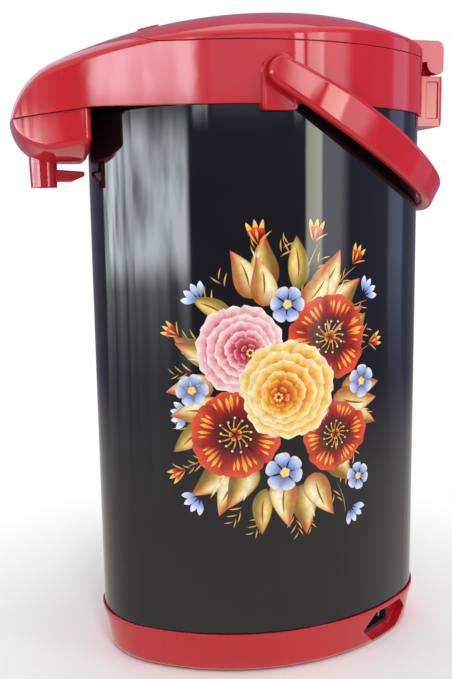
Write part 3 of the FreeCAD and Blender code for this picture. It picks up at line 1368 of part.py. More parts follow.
# Push plate
push = body("push")
sk = sketch(push, lift="pump_skirt_low")
disc(sk, "pump_radius", "0", "-pump_y")
pad(push, sk, "pump_skirt + cut_over")
turned_cut(push, dome_outline, "0")
rounded(push, "pump_edge", lambda e, s: wall_meets_dome(e, s) and middle(e).z > val("pump_skirt_low") + 1)
sk = sketch(push, lift="pump_skirt_low")
disc(sk, "pump_radius - pump_skirt_wall", "0", "-pump_y")
pocket(push, sk, "pump_under - pump_skirt_low", up=True)
part("push_plate", push)

# Lid liner with the pump's cup
liner = body("liner")
sk = sketch(liner, lift="liner_low")
oval(sk, "-liner_inset")
pad(liner, sk, "liner_floor + liner_rim")
sk = sketch(liner, lift="liner_low + liner_floor + liner_rim")
oval(sk, "-liner_inset - liner_wall")
pocket(liner, sk, "liner_rim")
sk = sketch(liner, "YZ")
LINER_FRONT = "liner_front_gap - seam_front_y"
squared(sk, [(LINER_FRONT, BELOW), (LINER_FRONT, ABOVE), (AHEAD, ABOVE), (AHEAD, BELOW)])
pocket(liner, sk, "cut_span", "Symmetric")
sk = sketch(liner, lift="cup_low")
disc(sk, "cup_radius", "0", "-pump_y")
pad(liner, sk, "liner_low + liner_floor - cup_low")
sk = sketch(liner, lift="cup_low + cup_wall")
disc(sk, "cup_radius - cup_wall", "0", "-pump_y")
pocket(liner, sk, "top_height - cup_low", up=True)
sk = sketch(liner, lift="cup_low - cup_wall")
disc(sk, "valve_hole", "0", "-pump_y")
pocket(liner, sk, "3 * cup_wall", up=True)
part("lid_liner", cut("liner_cut", liner, liner_screws))

lid_seal = body("lid_seal")
sk = sketch(lid_seal, lift="deck_height + deck_thickness + collar_height + gasket_gap")
mouth(sk, "gasket_outer")
mouth(sk, "gasket_inner")
pad(lid_seal, sk, "liner_low - deck_height - deck_thickness - collar_height - gasket_gap")
part("lid_gasket", lid_seal)

# Bellows, spring and valve of the pump
bellows = body("bellows_body")
place(bellows, "0", "-pump_y")
sk = sketch(bellows, "XZ")
folds = 4
rise = f"(pump_under - cup_low - cup_wall) / {2 * folds}"
outer = []
inner = []
for step in range(2 * folds + 1):
    radius = "bellows_inner" if step % 2 == 0 else "bellows_outer"
    z = f"cup_low + cup_wall + {step} * {rise}"
    outer.append((radius, z))
    inner.append((f"{radius} - bellows_wall", z))
polygon(sk, outer + inner[::-1])
turned = bellows.newObject("PartDesign::Revolution", "bellows_turn")
turned.Profile = sk
turned.ReferenceAxis = (sk, ["V_Axis"])
turned.Angle = 360
part("bellows", bellows)

coil_path = doc.addObject("Part::Helix", "coil_path")
bind(coil_path, "Radius", "spring_radius")
COIL_LOW = "cup_low + cup_wall + spring_wire + spring_end_gap"
COIL_HEIGHT = f"pump_under - spring_wire - spring_end_gap - ({COIL_LOW})"
bind(coil_path, "Height", COIL_HEIGHT)
bind(coil_path, "Pitch", f"({COIL_HEIGHT}) / spring_turns")
place(coil_path, "0", "-pump_y", COIL_LOW)
coil_wire = doc.addObject("Part::RegularPolygon", "coil_wire")
coil_wire.Polygon = 8
bind(coil_wire, "Circumradius", "spring_wire")
place(coil_wire, "spring_radius", "-pump_y", COIL_LOW, "90", Vector(1, 0, 0))
coil = doc.addObject("Part::Sweep", "coil")
coil.Sections = [coil_wire]
coil.Spine = (coil_path, [])
coil.Solid = True
coil.Frenet = True
part("pump_spring", coil)

VALVE_LOW = "cup_low - valve_thickness"
part("air_valve", cylinder("valve", "valve_radius", "valve_thickness", "0", "-pump_y", VALVE_LOW))

doc.recompute()
bad = []
for thing in doc.Objects:
    if "Invalid" in thing.State or "Error" in thing.State:
        bad.append(f"{thing.Name}: {thing.State}")
for label, thing in PARTS.items():
    if thing.Shape.isNull() or not thing.Shape.isValid() or not thing.Shape.Solids:
        bad.append(f"{label}: shape")
if bad:
    raise RuntimeError("not built: " + "; ".join(bad))
os.makedirs("parts", exist_ok=True)
for label, thing in PARTS.items():
    thing.Shape.exportStep(f"parts/{label}.step")
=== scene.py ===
import json
import math
import random
from collections import namedtuple

import bmesh
import bpy
from mathutils import Matrix, Vector


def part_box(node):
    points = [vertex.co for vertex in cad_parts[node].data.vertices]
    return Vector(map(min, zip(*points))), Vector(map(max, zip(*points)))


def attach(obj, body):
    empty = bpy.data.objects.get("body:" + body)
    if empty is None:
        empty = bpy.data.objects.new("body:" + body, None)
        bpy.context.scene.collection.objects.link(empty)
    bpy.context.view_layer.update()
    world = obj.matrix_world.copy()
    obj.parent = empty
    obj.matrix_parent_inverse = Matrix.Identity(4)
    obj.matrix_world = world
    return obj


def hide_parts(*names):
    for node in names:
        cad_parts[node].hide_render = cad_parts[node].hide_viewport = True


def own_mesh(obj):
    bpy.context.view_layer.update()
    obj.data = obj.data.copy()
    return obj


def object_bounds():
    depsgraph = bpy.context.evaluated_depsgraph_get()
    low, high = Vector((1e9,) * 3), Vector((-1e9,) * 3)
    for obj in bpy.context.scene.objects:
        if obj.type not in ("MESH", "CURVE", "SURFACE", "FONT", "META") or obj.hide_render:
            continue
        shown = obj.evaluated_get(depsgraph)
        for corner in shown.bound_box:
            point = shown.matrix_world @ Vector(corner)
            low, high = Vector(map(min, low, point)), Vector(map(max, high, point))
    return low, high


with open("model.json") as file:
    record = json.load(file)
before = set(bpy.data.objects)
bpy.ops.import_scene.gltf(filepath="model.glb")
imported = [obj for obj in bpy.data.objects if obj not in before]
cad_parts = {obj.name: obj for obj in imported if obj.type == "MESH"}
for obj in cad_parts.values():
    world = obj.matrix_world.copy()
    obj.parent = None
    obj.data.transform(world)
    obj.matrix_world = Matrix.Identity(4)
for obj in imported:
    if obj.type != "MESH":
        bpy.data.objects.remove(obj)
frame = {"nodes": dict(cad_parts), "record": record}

# Pump pot: red gloss mouldings, black lacquered shell with a painted bouquet, steel and rubber inside.
# Metres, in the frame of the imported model. The spout points to -Y and the painted side to +X.

cad_low, cad_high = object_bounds()
nodes = frame["nodes"]
MM = 0.001


def linked(name, data):
    made = bpy.data.objects.new(name, data)
    bpy.context.scene.collection.objects.link(made)
    return made


def passed(value, start, end):
    """Share of the way from start to end that value has gone, from 0 to 1."""
    return min(max((value - start) / (end - start), 0.0), 1.0)


# Node tree helpers

def add(tree, kind, **settings):
    node = tree.nodes.new(kind)
    for name, value in settings.items():
        setattr(node, name, value)
    return node


def wire(tree, source, output, target, socket):
    tree.links.new(source.outputs[output], target.inputs[socket])


def shader_group(name, inputs, outputs):
    tree = bpy.data.node_groups.new(name, "ShaderNodeTree")
    for label, kind, value in inputs:
        socket = tree.interface.new_socket(label, in_out="INPUT", socket_type=kind)
        socket.default_value = value
    for label in outputs:
        kind = "NodeSocketVector" if label == "Normal" else "NodeSocketFloat"
        tree.interface.new_socket(label, in_out="OUTPUT", socket_type=kind)
    return tree, add(tree, "NodeGroupInput"), add(tree, "NodeGroupOutput")


def noise(tree, source, scale, detail=3.0, stretch=None, output="Vector"):
    texture = add(tree, "ShaderNodeTexNoise")
    texture.inputs["Scale"].default_value = scale
    texture.inputs["Detail"].default_value = detail
    if stretch is None:
        wire(tree, source, output, texture, "Vector")
    else:
        mapping = add(tree, "ShaderNodeMapping")
        mapping.inputs["Scale"].default_value = stretch
        wire(tree, source, output, mapping, "Vector")
        wire(tree, mapping, "Vector", texture, "Vector")
    return texture


def combined(tree, operation, *sources, kind="ShaderNodeMath"):
    """Math node fed by pairs of a node and its output."""
    node = add(tree, kind, operation=operation)
    for socket, (source, output) in enumerate(sources):
        wire(tree, source, output, node, socket)
    return node


def spread(tree, source, output, low, high, to_low=0.0, to_high=1.0, smooth=False):
    """Value from low to high taken to one from to_low to to_high, and no farther."""
    node = add(tree, "ShaderNodeMapRange")
    if smooth:
        node.interpolation_type = "SMOOTHSTEP"
    node.inputs["From Min"].default_value = low
    node.inputs["From Max"].default_value = high
    node.inputs["To Min"].default_value = to_low
    node.inputs["To Max"].default_value = to_high
    wire(tree, source, output, node, "Value")
    return node


VECTOR = ("Vector", "NodeSocketVector", (0.0, 0.0, 0.0))
SPECK_SCALE = 190.0
EDGE_RADIUS = 0.4 * MM


def handling_marks():
    """Cloudy smears from hands and wiping, and sparse fine dust."""
    tree, start, end = shader_group("handling_marks", [VECTOR], ["Smear", "Dust"])
    clouds = noise(tree, start, scale=16.0, detail=4.0)
    wire(tree, spread(tree, clouds, "Fac", low=0.42, high=0.68), "Result", end, "Smear")
    specks = add(tree, "ShaderNodeTexVoronoi", feature="F1")
    specks.inputs["Scale"].default_value = SPECK_SCALE
    wire(tree, start, "Vector", specks, "Vector")
    near = spread(tree, specks, "Distance", low=0.05, high=0.11, to_low=1.0, to_high=0.0)
    sparse = noise(tree, start, scale=60.0, detail=1.0)
    some = spread(tree, sparse, "Fac", low=0.58, high=0.66)
    wire(tree, combined(tree, "MULTIPLY", (near, "Result"), (some, "Result")), "Value", end, "Dust")
    return tree


def moulded_skin():
    """Slow waviness of a moulded or sprayed surface with a fine tooth on it."""
    fineness = ("Tooth", "NodeSocketFloat", 0.15)
    tree, start, end = shader_group("moulded_skin", [VECTOR, fineness], ["Height"])
    wave = noise(tree, start, scale=70.0, detail=2.0)
    tooth = noise(tree, start, scale=1400.0, detail=2.0)
    height = combined(tree, "MULTIPLY_ADD", (tooth, "Fac"), (start, "Tooth"), (wave, "Fac"))
    wire(tree, height, "Value", end, "Height")
    return tree


def drawn_lines():
    """Fine lines left by drawing or brushing metal, running round the piece."""
    tree, start, end = shader_group("drawn_lines", [VECTOR], ["Line", "Tone"])
    fine = noise(tree, start, scale=60.0, detail=6.0, stretch=(1.0, 1.0, 40.0))
    wire(tree, fine, "Fac", end, "Line")
    wire(tree, noise(tree, start, scale=14.0), "Fac", end, "Tone")
    return tree


def rubbed_edges():
    """Normal that rounds the sharp edges, and a mask that is 1 along them."""
    radius = ("Radius", "NodeSocketFloat", EDGE_RADIUS)
    tree, start, end = shader_group("rubbed_edges", [radius], ["Normal", "Rim"])
    rounded = add(tree, "ShaderNodeBevel", samples=6)
    wire(tree, start, "Radius", rounded, "Radius")
    surface = add(tree, "ShaderNodeNewGeometry")
    turned = combined(tree, "DOT_PRODUCT", (rounded, "Normal"), (surface, "Normal"),
                      kind="ShaderNodeVectorMath")
    wire(tree, rounded, "Normal", end, "Normal")
    rim = spread(tree, turned, "Value", low=0.80, high=0.985, to_low=1.0, to_high=0.0)
    wire(tree, rim, "Result", end, "Rim")
    return tree


MARKS = handling_marks()
SKIN = moulded_skin()
LINES = drawn_lines()
EDGES = rubbed_edges()


# Finishes

DUST_DULLS = 0.18
EDGE_WEAR = 0.5
DRAWN_LINE_DEPTH = 0.02 * MM


def new_finish(name, **sockets):
    material = bpy.data.materials.new(name)
    material.use_nodes = True
    tree = material.node_tree
    shader = tree.nodes["Principled BSDF"]
    for label, value in sockets.items():
        shader.inputs[label.replace("_", " ")].default_value = value
    return material, tree, shader


def group_node(tree, group, coordinates):
    node = add(tree, "ShaderNodeGroup", node_tree=group)
    wire(tree, coordinates, "Object", node, "Vector")
    return node


def tint(tree, source, output, colours, target):
    ramp = add(tree, "ShaderNodeValToRGB")
    for element, colour in zip(ramp.color_ramp.elements, colours):
        element.color = (*colour, 1.0)
    wire(tree, source, output, ramp, "Fac")
    wire(tree, ramp, "Color", target, "Base Color")
    return ramp


def bump(tree, source, output, shader, strength, depth):
    node = add(tree, "ShaderNodeBump")
    node.inputs["Strength"].default_value = strength
    node.inputs["Distance"].default_value = depth
    wire(tree, source, output, node, "Height")
    wire(tree, node, "Normal", shader, "Normal")
    return node


def moulded(name, colours, rough, strength, depth, tooth, edge=EDGE_RADIUS, worn=None, **sockets):
    """Plastic, rubber or lacquer: smears and dust in colour and gloss, a skin in relief, rubbed edges."""
    material, tree, shader = new_finish(name, **sockets)
    place = add(tree, "ShaderNodeTexCoord")
    marks = group_node(tree, MARKS, place)
    ramp = tint(tree, marks, "Smear", colours, shader)
    edges = add(tree, "ShaderNodeGroup", node_tree=EDGES)
    edges.inputs["Radius"].default_value = edge
    if worn is not None:
        rubbed = add(tree, "ShaderNodeMix", data_type="RGBA")
        wear = spread(tree, edges, "Rim", low=0.0, high=1.0, to_high=EDGE_WEAR)
        wire(tree, wear, "Result", rubbed, "Factor")
        wire(tree, ramp, "Color", rubbed, "A")
        rubbed.inputs["B"].default_value = (*worn, 1.0)
        wire(tree, rubbed, "Result", shader, "Base Color")
    dulled = add(tree, "ShaderNodeMath", operation="MULTIPLY_ADD")
    wire(tree, marks, "Dust", dulled, 0)
    dulled.inputs[1].default_value = DUST_DULLS
    wire(tree, spread(tree, marks, "Smear", 0.0, 1.0, *rough), "Result", dulled, 2)
    wire(tree, dulled, "Value", shader, "Roughness")
    skin = group_node(tree, SKIN, place)
    skin.inputs["Tooth"].default_value = tooth
    relief = bump(tree, skin, "Height", shader, strength, depth)
    wire(tree, edges, "Normal", relief, "Normal")
    return material


def drawn_metal(name, colours, rough, strength, metallic=0.85):
    """Metal with fine lines; a share of plain scatter stands for its worn, dulled skin."""
    material, tree, shader = new_finish(name, Metallic=metallic)
    place = add(tree, "ShaderNodeTexCoord")
    lines = group_node(tree, LINES, place)
    tint(tree, lines, "Tone", colours, shader)
    wire(tree, spread(tree, lines, "Line", 0.3, 0.7, *rough), "Result", shader, "Roughness")
    bump(tree, lines, "Line", shader, strength, DRAWN_LINE_DEPTH)
    return material


FINISHES = {
    "red_plastic": moulded("red_gloss_plastic", ((0.56, 0.012, 0.020), (0.50, 0.010, 0.017)),
                           rough=(0.03, 0.06), strength=0.08, depth=0.25 * MM, tooth=0.02,
                           edge=0.7 * MM, worn=(0.62, 0.035, 0.045), IOR=1.52),
    "black_lacquer": moulded("black_gloss_lacquer", ((0.002, 0.002, 0.003), (0.004, 0.004, 0.005)),
                             rough=(0.03, 0.06), strength=0.06, depth=0.2 * MM, tooth=0.01, IOR=1.5),
    "pot_steel": drawn_metal("drawn_pot_steel", ((0.70, 0.70, 0.69), (0.82, 0.82, 0.80)),
                             rough=(0.26, 0.40), strength=0.15, metallic=0.55),
    "zinc_steel": drawn_metal("zinc_plated_steel", ((0.48, 0.48, 0.46), (0.66, 0.66, 0.65)),
                              rough=(0.28, 0.45), strength=0.2),
    "black_plastic": moulded("black_satin_plastic", ((0.014, 0.014, 0.015), (0.022, 0.022, 0.022)),
                             rough=(0.36, 0.48), strength=0.25, depth=0.2 * MM, tooth=0.5, IOR=1.5),
    "grey_plastic": moulded("ivory_liner_plastic", ((0.70, 0.69, 0.65), (0.63, 0.62, 0.58)),
                            rough=(0.34, 0.46), strength=0.2, depth=0.2 * MM, tooth=0.4, IOR=1.5),
    "rubber": moulded("black_rubber", ((0.018, 0.018, 0.018), (0.032, 0.032, 0.031)),
                      rough=(0.62, 0.78), strength=0.35, depth=0.25 * MM, tooth=0.7, IOR=1.48),
    "silicone": moulded("milky_silicone", ((0.74, 0.74, 0.71), (0.66, 0.66, 0.63)),
                        rough=(0.42, 0.56), strength=0.15, depth=0.25 * MM, tooth=0.2, IOR=1.42,
                        Subsurface_Weight=0.15),
    "cast_aluminium": drawn_metal("cast_aluminium", ((0.50, 0.50, 0.50), (0.66, 0.66, 0.65)),
                                  rough=(0.42, 0.6), strength=0.5),
    "brass": drawn_metal("plain_brass", ((0.62, 0.44, 0.17), (0.76, 0.58, 0.27)),
                         rough=(0.22, 0.36), strength=0.15),
}


def dress(node, material):
    slots = nodes[node].data.materials
    slots.clear()
    slots.append(material)


for row in frame["record"]["subparts"]:
    dress(row["node"], FINISHES[row["material_slot"]])


# Soft bellows and coil spring of the pump

BELLOWS_FOLDS = 4
BELLOWS_WALL = 1.4 * MM
BELLOWS_FOLD_DEPTH = 7.0 * MM
FOLD_FULLNESS = 0.75
FOLD_STEPS = 16
BELLOWS_SIDES = 96
COIL_WIRE = 0.9 * MM
COIL_TURNS = 7
COIL_CLOSE_TURNS = 0.6
COIL_STEPS = 40
COIL_SIDES = 12


def added_mesh(name, shape, finish):
    bmesh.ops.recalc_face_normals(shape, faces=shape.faces)
    mesh = bpy.data.meshes.new(name)
    shape.to_mesh(mesh)
    shape.free()
    for face in mesh.polygons:
        face.use_smooth = True
    mesh.materials.append(finish)
    return linked(name, mesh)


def joined_rings(shape, rings):
    for first, second in zip(rings, rings[1:]):
        for k in range(len(first)):
            shape.faces.new((first[k - 1], first[k], second[k], second[k - 1]))


def pump_bellows():
    """Rubber bellows with rounded folds."""
    low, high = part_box("bellows")
    middle = (low + high) / 2
    steps = FOLD_STEPS * BELLOWS_FOLDS
    crest = (high.x - low.x) / 2
    outside = []
    for i in range(steps + 1):
        wave = math.cos(2 * math.pi * BELLOWS_FOLDS * i / steps)
        swell = 0.5 - 0.5 * math.copysign(abs(wave) ** FOLD_FULLNESS, wave)
        outside.append((crest - BELLOWS_FOLD_DEPTH * (1 - swell), low.z + (high.z - low.z) * i / steps))
    section = outside + [(radius - BELLOWS_WALL, z) for radius, z in reversed(outside)]
    turns = [2 * math.pi * k / BELLOWS_SIDES for k in range(BELLOWS_SIDES)]
    shape = bmesh.new()
    rings = []
    for radius, z in section:
        spots = [(middle.x + radius * math.cos(turn), middle.y + radius * math.sin(turn), z)
                 for turn in turns]
        rings.append([shape.verts.new(spot) for spot in spots])
    joined_rings(shape, rings + rings[:1])
    return added_mesh("pump_bellows", shape, FINISHES["rubber"])


def pump_coil():
    """Coil spring of round wire with a close turn at each end."""
    low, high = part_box("pump_spring")
    middle = (low + high) / 2
    steps = COIL_STEPS * COIL_TURNS
    reach = (high.x - low.x) / 2 - COIL_WIRE
    from_end = [min(i, steps - i) * COIL_TURNS / steps for i in range(steps)]
    open_share = [passed(turns, COIL_CLOSE_TURNS, 2 * COIL_CLOSE_TURNS) for turns in from_end]
    close_step = 2 * COIL_WIRE * COIL_TURNS / steps
    rise = high.z - low.z - 2 * COIL_WIRE
    open_step = (rise - close_step * steps) / sum(open_share)
    shape = bmesh.new()
    rings, z = [], low.z + COIL_WIRE
    for i in range(steps + 1):
        turn = 2 * math.pi * COIL_TURNS * i / steps
        ring = []
        for k in range(COIL_SIDES):
            round_wire = 2 * math.pi * k / COIL_SIDES
            radius = reach + COIL_WIRE * math.cos(round_wire)
            spot = (middle.x + radius * math.cos(turn), middle.y + radius * math.sin(turn),
                    z + COIL_WIRE * math.sin(round_wire))
            ring.append(shape.verts.new(spot))
        rings.append(ring)
        if i < steps:
            z += close_step + open_step * open_share[i]
    joined_rings(shape, rings)
    shape.faces.new(rings[0])
    shape.faces.new(rings[-1])
    return added_mesh("pump_coil", shape, FINISHES["zinc_steel"])


def shortens(piece, node):
    """The piece stands for a soft node of the lid: it goes with the lid, and the node is hidden."""
    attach(piece, "lid")
    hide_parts(node)
    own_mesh(piece)


shortens(pump_bellows(), "bellows")
shortens(pump_coil(), "pump_spring")


# Painted bouquet, laid out flat in millimetres, u along the shell and v up it, and then bent on the shell

SIDE_RADIUS = 143.0 * MM
SHELL_HALF_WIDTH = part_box("outer_shell")[1].x
# Height of the lowest paint over the shell, from layer to layer, and the share of a layer from mark to mark
PAINT_LIFT = 0.06
PAINT_LAYER = 0.03
OVERLAP = 0.09
PAINT = "paint"
MERGE_DISTANCE = 0.002 * MM
chance = random.Random(7)


def mixed(first, second, share):
    return tuple(a + (b - a) * share for a, b in zip(first, second))


def blend(stops, t):
    """Colour at t along stops of (place, colour)."""
    for (start, first), (end, second) in zip(stops, stops[1:]):
        if t <= end:
            return mixed(first, second, passed(t, start, end))
    return stops[-1][1]


def motif(name, spot, colour, rows, columns):
    """One brush mark of unit length: t runs from its root to its tip and s from -1 to 1 across it."""
    points, colours, faces = [], [], []
    for i in range(rows + 1):
        for j in range(columns + 1):
            t, s = i / rows, 2 * j / columns - 1
            points.append((*spot(t, s), 0.0))
            colours.extend((*colour(t, s), 1.0))
    for i in range(rows):
        for j in range(columns):
            k = i * (columns + 1) + j
            faces.append((k, k + 1, k + columns + 2, k + columns + 1))
    mesh = bpy.data.meshes.new(name)
    mesh.from_pydata(points, [], faces)
    mesh.attributes.new(PAINT, "FLOAT_COLOR", "POINT").data.foreach_set("color", colours)
    return linked(name, mesh)


# Shares of a petal's half width and length, and powers of its curves
NOTCH_WIDTH = 0.28
RIM_RIPPLES = 9
ROOT_WIDTH = 0.35
FLARE = 0.7
BLADE_ROUNDNESS = 0.85


def fan(half_angle, shoulder, notch=0.0, ripple=0.0):
    """Petal that widens from its root, with a notch in the rim and rounded shoulders."""
    def spot(t, s):
        dip = notch * math.exp(-(s / NOTCH_WIDTH) ** 2)
        rim = 1 - dip - shoulder * s ** 4 + ripple * math.cos(RIM_RIPPLES * s)
        turn = s * half_angle * (ROOT_WIDTH + (1 - ROOT_WIDTH) * t ** FLARE)
        return t * rim * math.sin(turn), t * rim * math.cos(turn)
    return spot


def blade(width, fullness, bend=0.0, curl=2.0):
    """Leaf or stroke along a bent middle line, pointed at both ends."""
    def spot(t, s):
        across = width * math.sin(math.pi * t ** fullness) ** BLADE_ROUNDNESS
        return bend * t ** curl + s * across, t
    return spot


def grain(t, s):
    """Round dot of unit width about its root."""
    return 0.5 * t * math.sin(math.pi * s), 0.5 * t * math.cos(math.pi * s)


def graded(stops, edge=None, edge_share=0.0):
    """Colour by stops from root to tip, blended towards the edge colour along both sides."""
    def colour(t, s):
        plain = blend(stops, t)
        return plain if edge is None else mixed(plain, edge, edge_share * abs(s) ** 3)
    return colour


# Rolled leaf: highlight and dark side across it from -1 to 1, root's shade and tip's warmth along it
SHINE_MIDDLE = -0.36
SHINE_WIDTH = 0.30
SHINE_AT_ENDS = 0.35
SHINE_PACE = 1.15
DARK_SIDE = (0.02, 0.62)
ROOT_SHADE = (0.40, 0.0)
WARM_TIP = (0.72, 1.0)
SIDE_DARKNESS = 0.85
EDGE_DARKNESS = 0.9
TIP_WARMTH = 0.8


def rolled(light, body, dark, tip, side=1):
    """Leaf rolled to one side: a highlight along it, a dark edge, a shaded root and a warm tip."""
    def colour(t, s):
        across = side * s
        middle = math.sin(math.pi * min(t * SHINE_PACE, 1.0))
        shine = math.exp(-((across - SHINE_MIDDLE) / SHINE_WIDTH) ** 2)
        shine *= SHINE_AT_ENDS + (1 - SHINE_AT_ENDS) * middle
        shade = max(SIDE_DARKNESS * passed(across, *DARK_SIDE), EDGE_DARKNESS * abs(s) ** 8)
        root = passed(t, *ROOT_SHADE)
        warm = TIP_WARMTH * passed(t, *WARM_TIP)
        paint = body
        for other, share in ((light, shine), (dark, shade), (dark, root), (tip, warm)):
            paint = mixed(paint, other, share)
        return paint
    return colour


SOOT = (0.012, 0.004, 0.003)
MAROON = (0.13, 0.006, 0.006)
CRIMSON = (0.36, 0.012, 0.030)
SCARLET = (0.62, 0.020, 0.010)
VERMILION = (0.82, 0.10, 0.030)
ORANGE = (0.85, 0.22, 0.02)
YELLOW = (0.93, 0.58, 0.07)
STRAW = (0.93, 0.76, 0.30)
CREAM = (0.92, 0.86, 0.60)
RUST = (0.42, 0.10, 0.012)
AMBER = (0.85, 0.42, 0.08)
GOLD = (0.74, 0.47, 0.09)
WHEAT = (0.93, 0.72, 0.24)
OLIVE = (0.20, 0.15, 0.03)
BRONZE = (0.16, 0.07, 0.012)
ROSE = (0.70, 0.07, 0.12)
BLUSH = (0.88, 0.44, 0.46)
PALE_ROSE = (0.95, 0.86, 0.84)
BLUE = (0.07, 0.12, 0.40)
SKY = (0.34, 0.46, 0.80)
FROST = (0.80, 0.86, 0.93)

MOTIFS = {
    "poppy_petals": motif("poppy_petal", fan(half_angle=0.66, shoulder=0.17, ripple=0.025),
                          graded([(0.0, SOOT), (0.30, SOOT), (0.48, MAROON), (0.74, SCARLET),
                                  (1.0, VERMILION)], MAROON, edge_share=0.85), rows=16, columns=14),
    "flame_strokes": motif("flame_stroke", blade(width=0.10, fullness=1.5),
                           graded([(0.0, SCARLET), (0.35, ORANGE), (0.8, YELLOW), (1.0, STRAW)]),
                           rows=12, columns=4),
    "yellow_petals": motif("yellow_petal", fan(half_angle=0.56, shoulder=0.24, ripple=0.03),
                           graded([(0.0, MAROON), (0.52, RUST), (0.72, ORANGE), (0.86, YELLOW),
                                   (1.0, CREAM)], ORANGE, edge_share=0.55), rows=14, columns=12),
    "amber_petals": motif("amber_petal", fan(half_angle=0.52, shoulder=0.24, notch=0.05),
                          graded([(0.0, MAROON), (0.5, SCARLET), (0.8, ORANGE), (1.0, YELLOW)],
                                 MAROON, edge_share=0.5), rows=10, columns=10),
    "pink_petals": motif("pink_petal", fan(half_angle=0.56, shoulder=0.24, ripple=0.03),
                         graded([(0.0, MAROON), (0.52, CRIMSON), (0.70, ROSE), (0.86, BLUSH),
                                 (1.0, PALE_ROSE)], ROSE, edge_share=0.55), rows=14, columns=12),
    "rose_petals": motif("rose_petal", fan(half_angle=0.52, shoulder=0.24, notch=0.05),
                         graded([(0.0, MAROON), (0.5, CRIMSON), (0.8, ROSE), (1.0, BLUSH)],
                                MAROON, edge_share=0.5), rows=10, columns=10),
    "gold_leaves": motif("gold_leaf", blade(width=0.30, fullness=0.66, bend=0.34, curl=2.6),
                         rolled(CREAM, GOLD, BRONZE, SCARLET), rows=24, columns=14),
    "wheat_leaves": motif("wheat_leaf", blade(width=0.30, fullness=0.66, bend=-0.34, curl=2.6),
                          rolled(CREAM, WHEAT, RUST, SCARLET, side=-1), rows=24, columns=14),
    "olive_leaves": motif("olive_leaf", blade(width=0.22, fullness=0.80, bend=-0.20),
                          rolled(WHEAT, GOLD, OLIVE, BRONZE), rows=24, columns=14),
    "leaf_lights": motif("leaf_light", blade(width=0.05, fullness=1.2, bend=0.20),
                         graded([(0.0, GOLD), (0.5, CREAM), (1.0, CREAM)]), rows=8, columns=2),
    "leaf_shades": motif("leaf_shade", blade(width=0.035, fullness=1.0, bend=-0.22),
                         graded([(0.0, BRONZE), (1.0, RUST)]), rows=8, columns=2),
    "blue_petals": motif("blue_petal", fan(half_angle=0.55, shoulder=0.25),
                         graded([(0.0, FROST), (0.25, BLUE), (0.6, SKY), (1.0, FROST)],
                                BLUE, edge_share=0.7), rows=8, columns=8),
    "frost_petals": motif("frost_petal", blade(width=0.20, fullness=1.3),
                          graded([(0.0, BLUE), (0.45, SKY), (0.8, FROST), (1.0, FROST)]),
                          rows=10, columns=6),
    "gold_strokes": motif("gold_stroke", blade(width=0.055, fullness=1.0, bend=0.26),
                          graded([(0.0, RUST), (0.5, AMBER), (1.0, GOLD)]), rows=10, columns=2),
    "stems": motif("stem", blade(width=0.012, fullness=1.0, bend=0.22, curl=2.4),
                   graded([(0.0, OLIVE), (1.0, GOLD)]), rows=16, columns=2),
    "pollen": motif("pollen_grain", grain, graded([(0.0, STRAW), (1.0, YELLOW)]), rows=3, columns=10),
}

places = {name: [] for name in MOTIFS}


def put(name, u, v, heading, size, layer):
    """A mark with its root at (u, v), heading degrees anticlockwise from straight up."""
    places[name].append((u, v, math.radians(heading), size, layer))


def ahead(u, v, heading, reach):
    """Place that lies reach away from (u, v) along a heading."""
    turn = math.radians(heading)
    return u - reach * math.sin(turn), v + reach * math.cos(turn)


def ring(name, centre, count, size, layer, first, inset=0.0):
    """Marks round a centre, each lying a little over the one before."""
    for i in range(count):
        heading = first + 360 * i / count + chance.uniform(-3, 3)
        u, v = ahead(*centre, heading, inset)
        put(name, u, v, heading, size * chance.uniform(0.95, 1.05), layer + OVERLAP * i)


# Shares of the poppy's size; a flame stroke has its lean in degrees, root and length
UPPER_PETALS = 0.94
FLAME_FRINGE = ((-19, 0.60, 0.24), (-9, 0.50, 0.36), (1, 0.46, 0.43), (11, 0.52, 0.34), (20, 0.62, 0.22))
STAMENS = 13
STAMEN_ROOT = 0.10
STAMEN_LENGTH = 0.24
STAMEN_TIPS = (0.30, 0.40)
STAMEN_CURVE = 12
TIP_GRAIN = 0.055
POPPY_HEART = 0.15


def poppy(u, v, size, layer, first):
    """Poppy of six broad petals round a dark heart, with a fringe of flame strokes and a ring of stamens."""
    ring("poppy_petals", (u, v), 3, size, layer, first)
    ring("poppy_petals", (u, v), 3, UPPER_PETALS * size, layer + 1, first + 60)
    for i in range(6):
        upper = i % 2
        for lean, root, reach in FLAME_FRINGE:
            heading = first + 60 * i + lean + chance.uniform(-2, 2)
            spot = ahead(u, v, heading, root * size * (UPPER_PETALS if upper else 1))
            put("flame_strokes", *spot, heading, reach * size * chance.uniform(0.85, 1.1), layer + 1 + upper)
    for i in range(STAMENS):
        heading = first + 360 * i / STAMENS
        root = ahead(u, v, heading, STAMEN_ROOT * size)
        put("gold_strokes", *root, heading, STAMEN_LENGTH * size, layer + 3)
        tip = ahead(u, v, heading - STAMEN_CURVE, chance.uniform(*STAMEN_TIPS) * size)
        put("pollen", *tip, 0, TIP_GRAIN * size, layer + 4)
    ring("amber_petals", (u, v), 5, POPPY_HEART * size, layer + 4, first)


# Petals of each ring and its share of the bloom's size, from the outer ring to the heart
BLOOM_RINGS = ((10, 1.0), (9, 0.82), (8, 0.65), (7, 0.49), (6, 0.34), (5, 0.21))
OUTER_RINGS = 4
RING_TURN = 23
RING_LEAN = 0.30
HEART_LEAN = 0.26
HEART_RADIUS = 0.07
HEART_GRAINS = 7
HEART_GRAIN = 0.06
HEART_GRAIN_TURN = 51


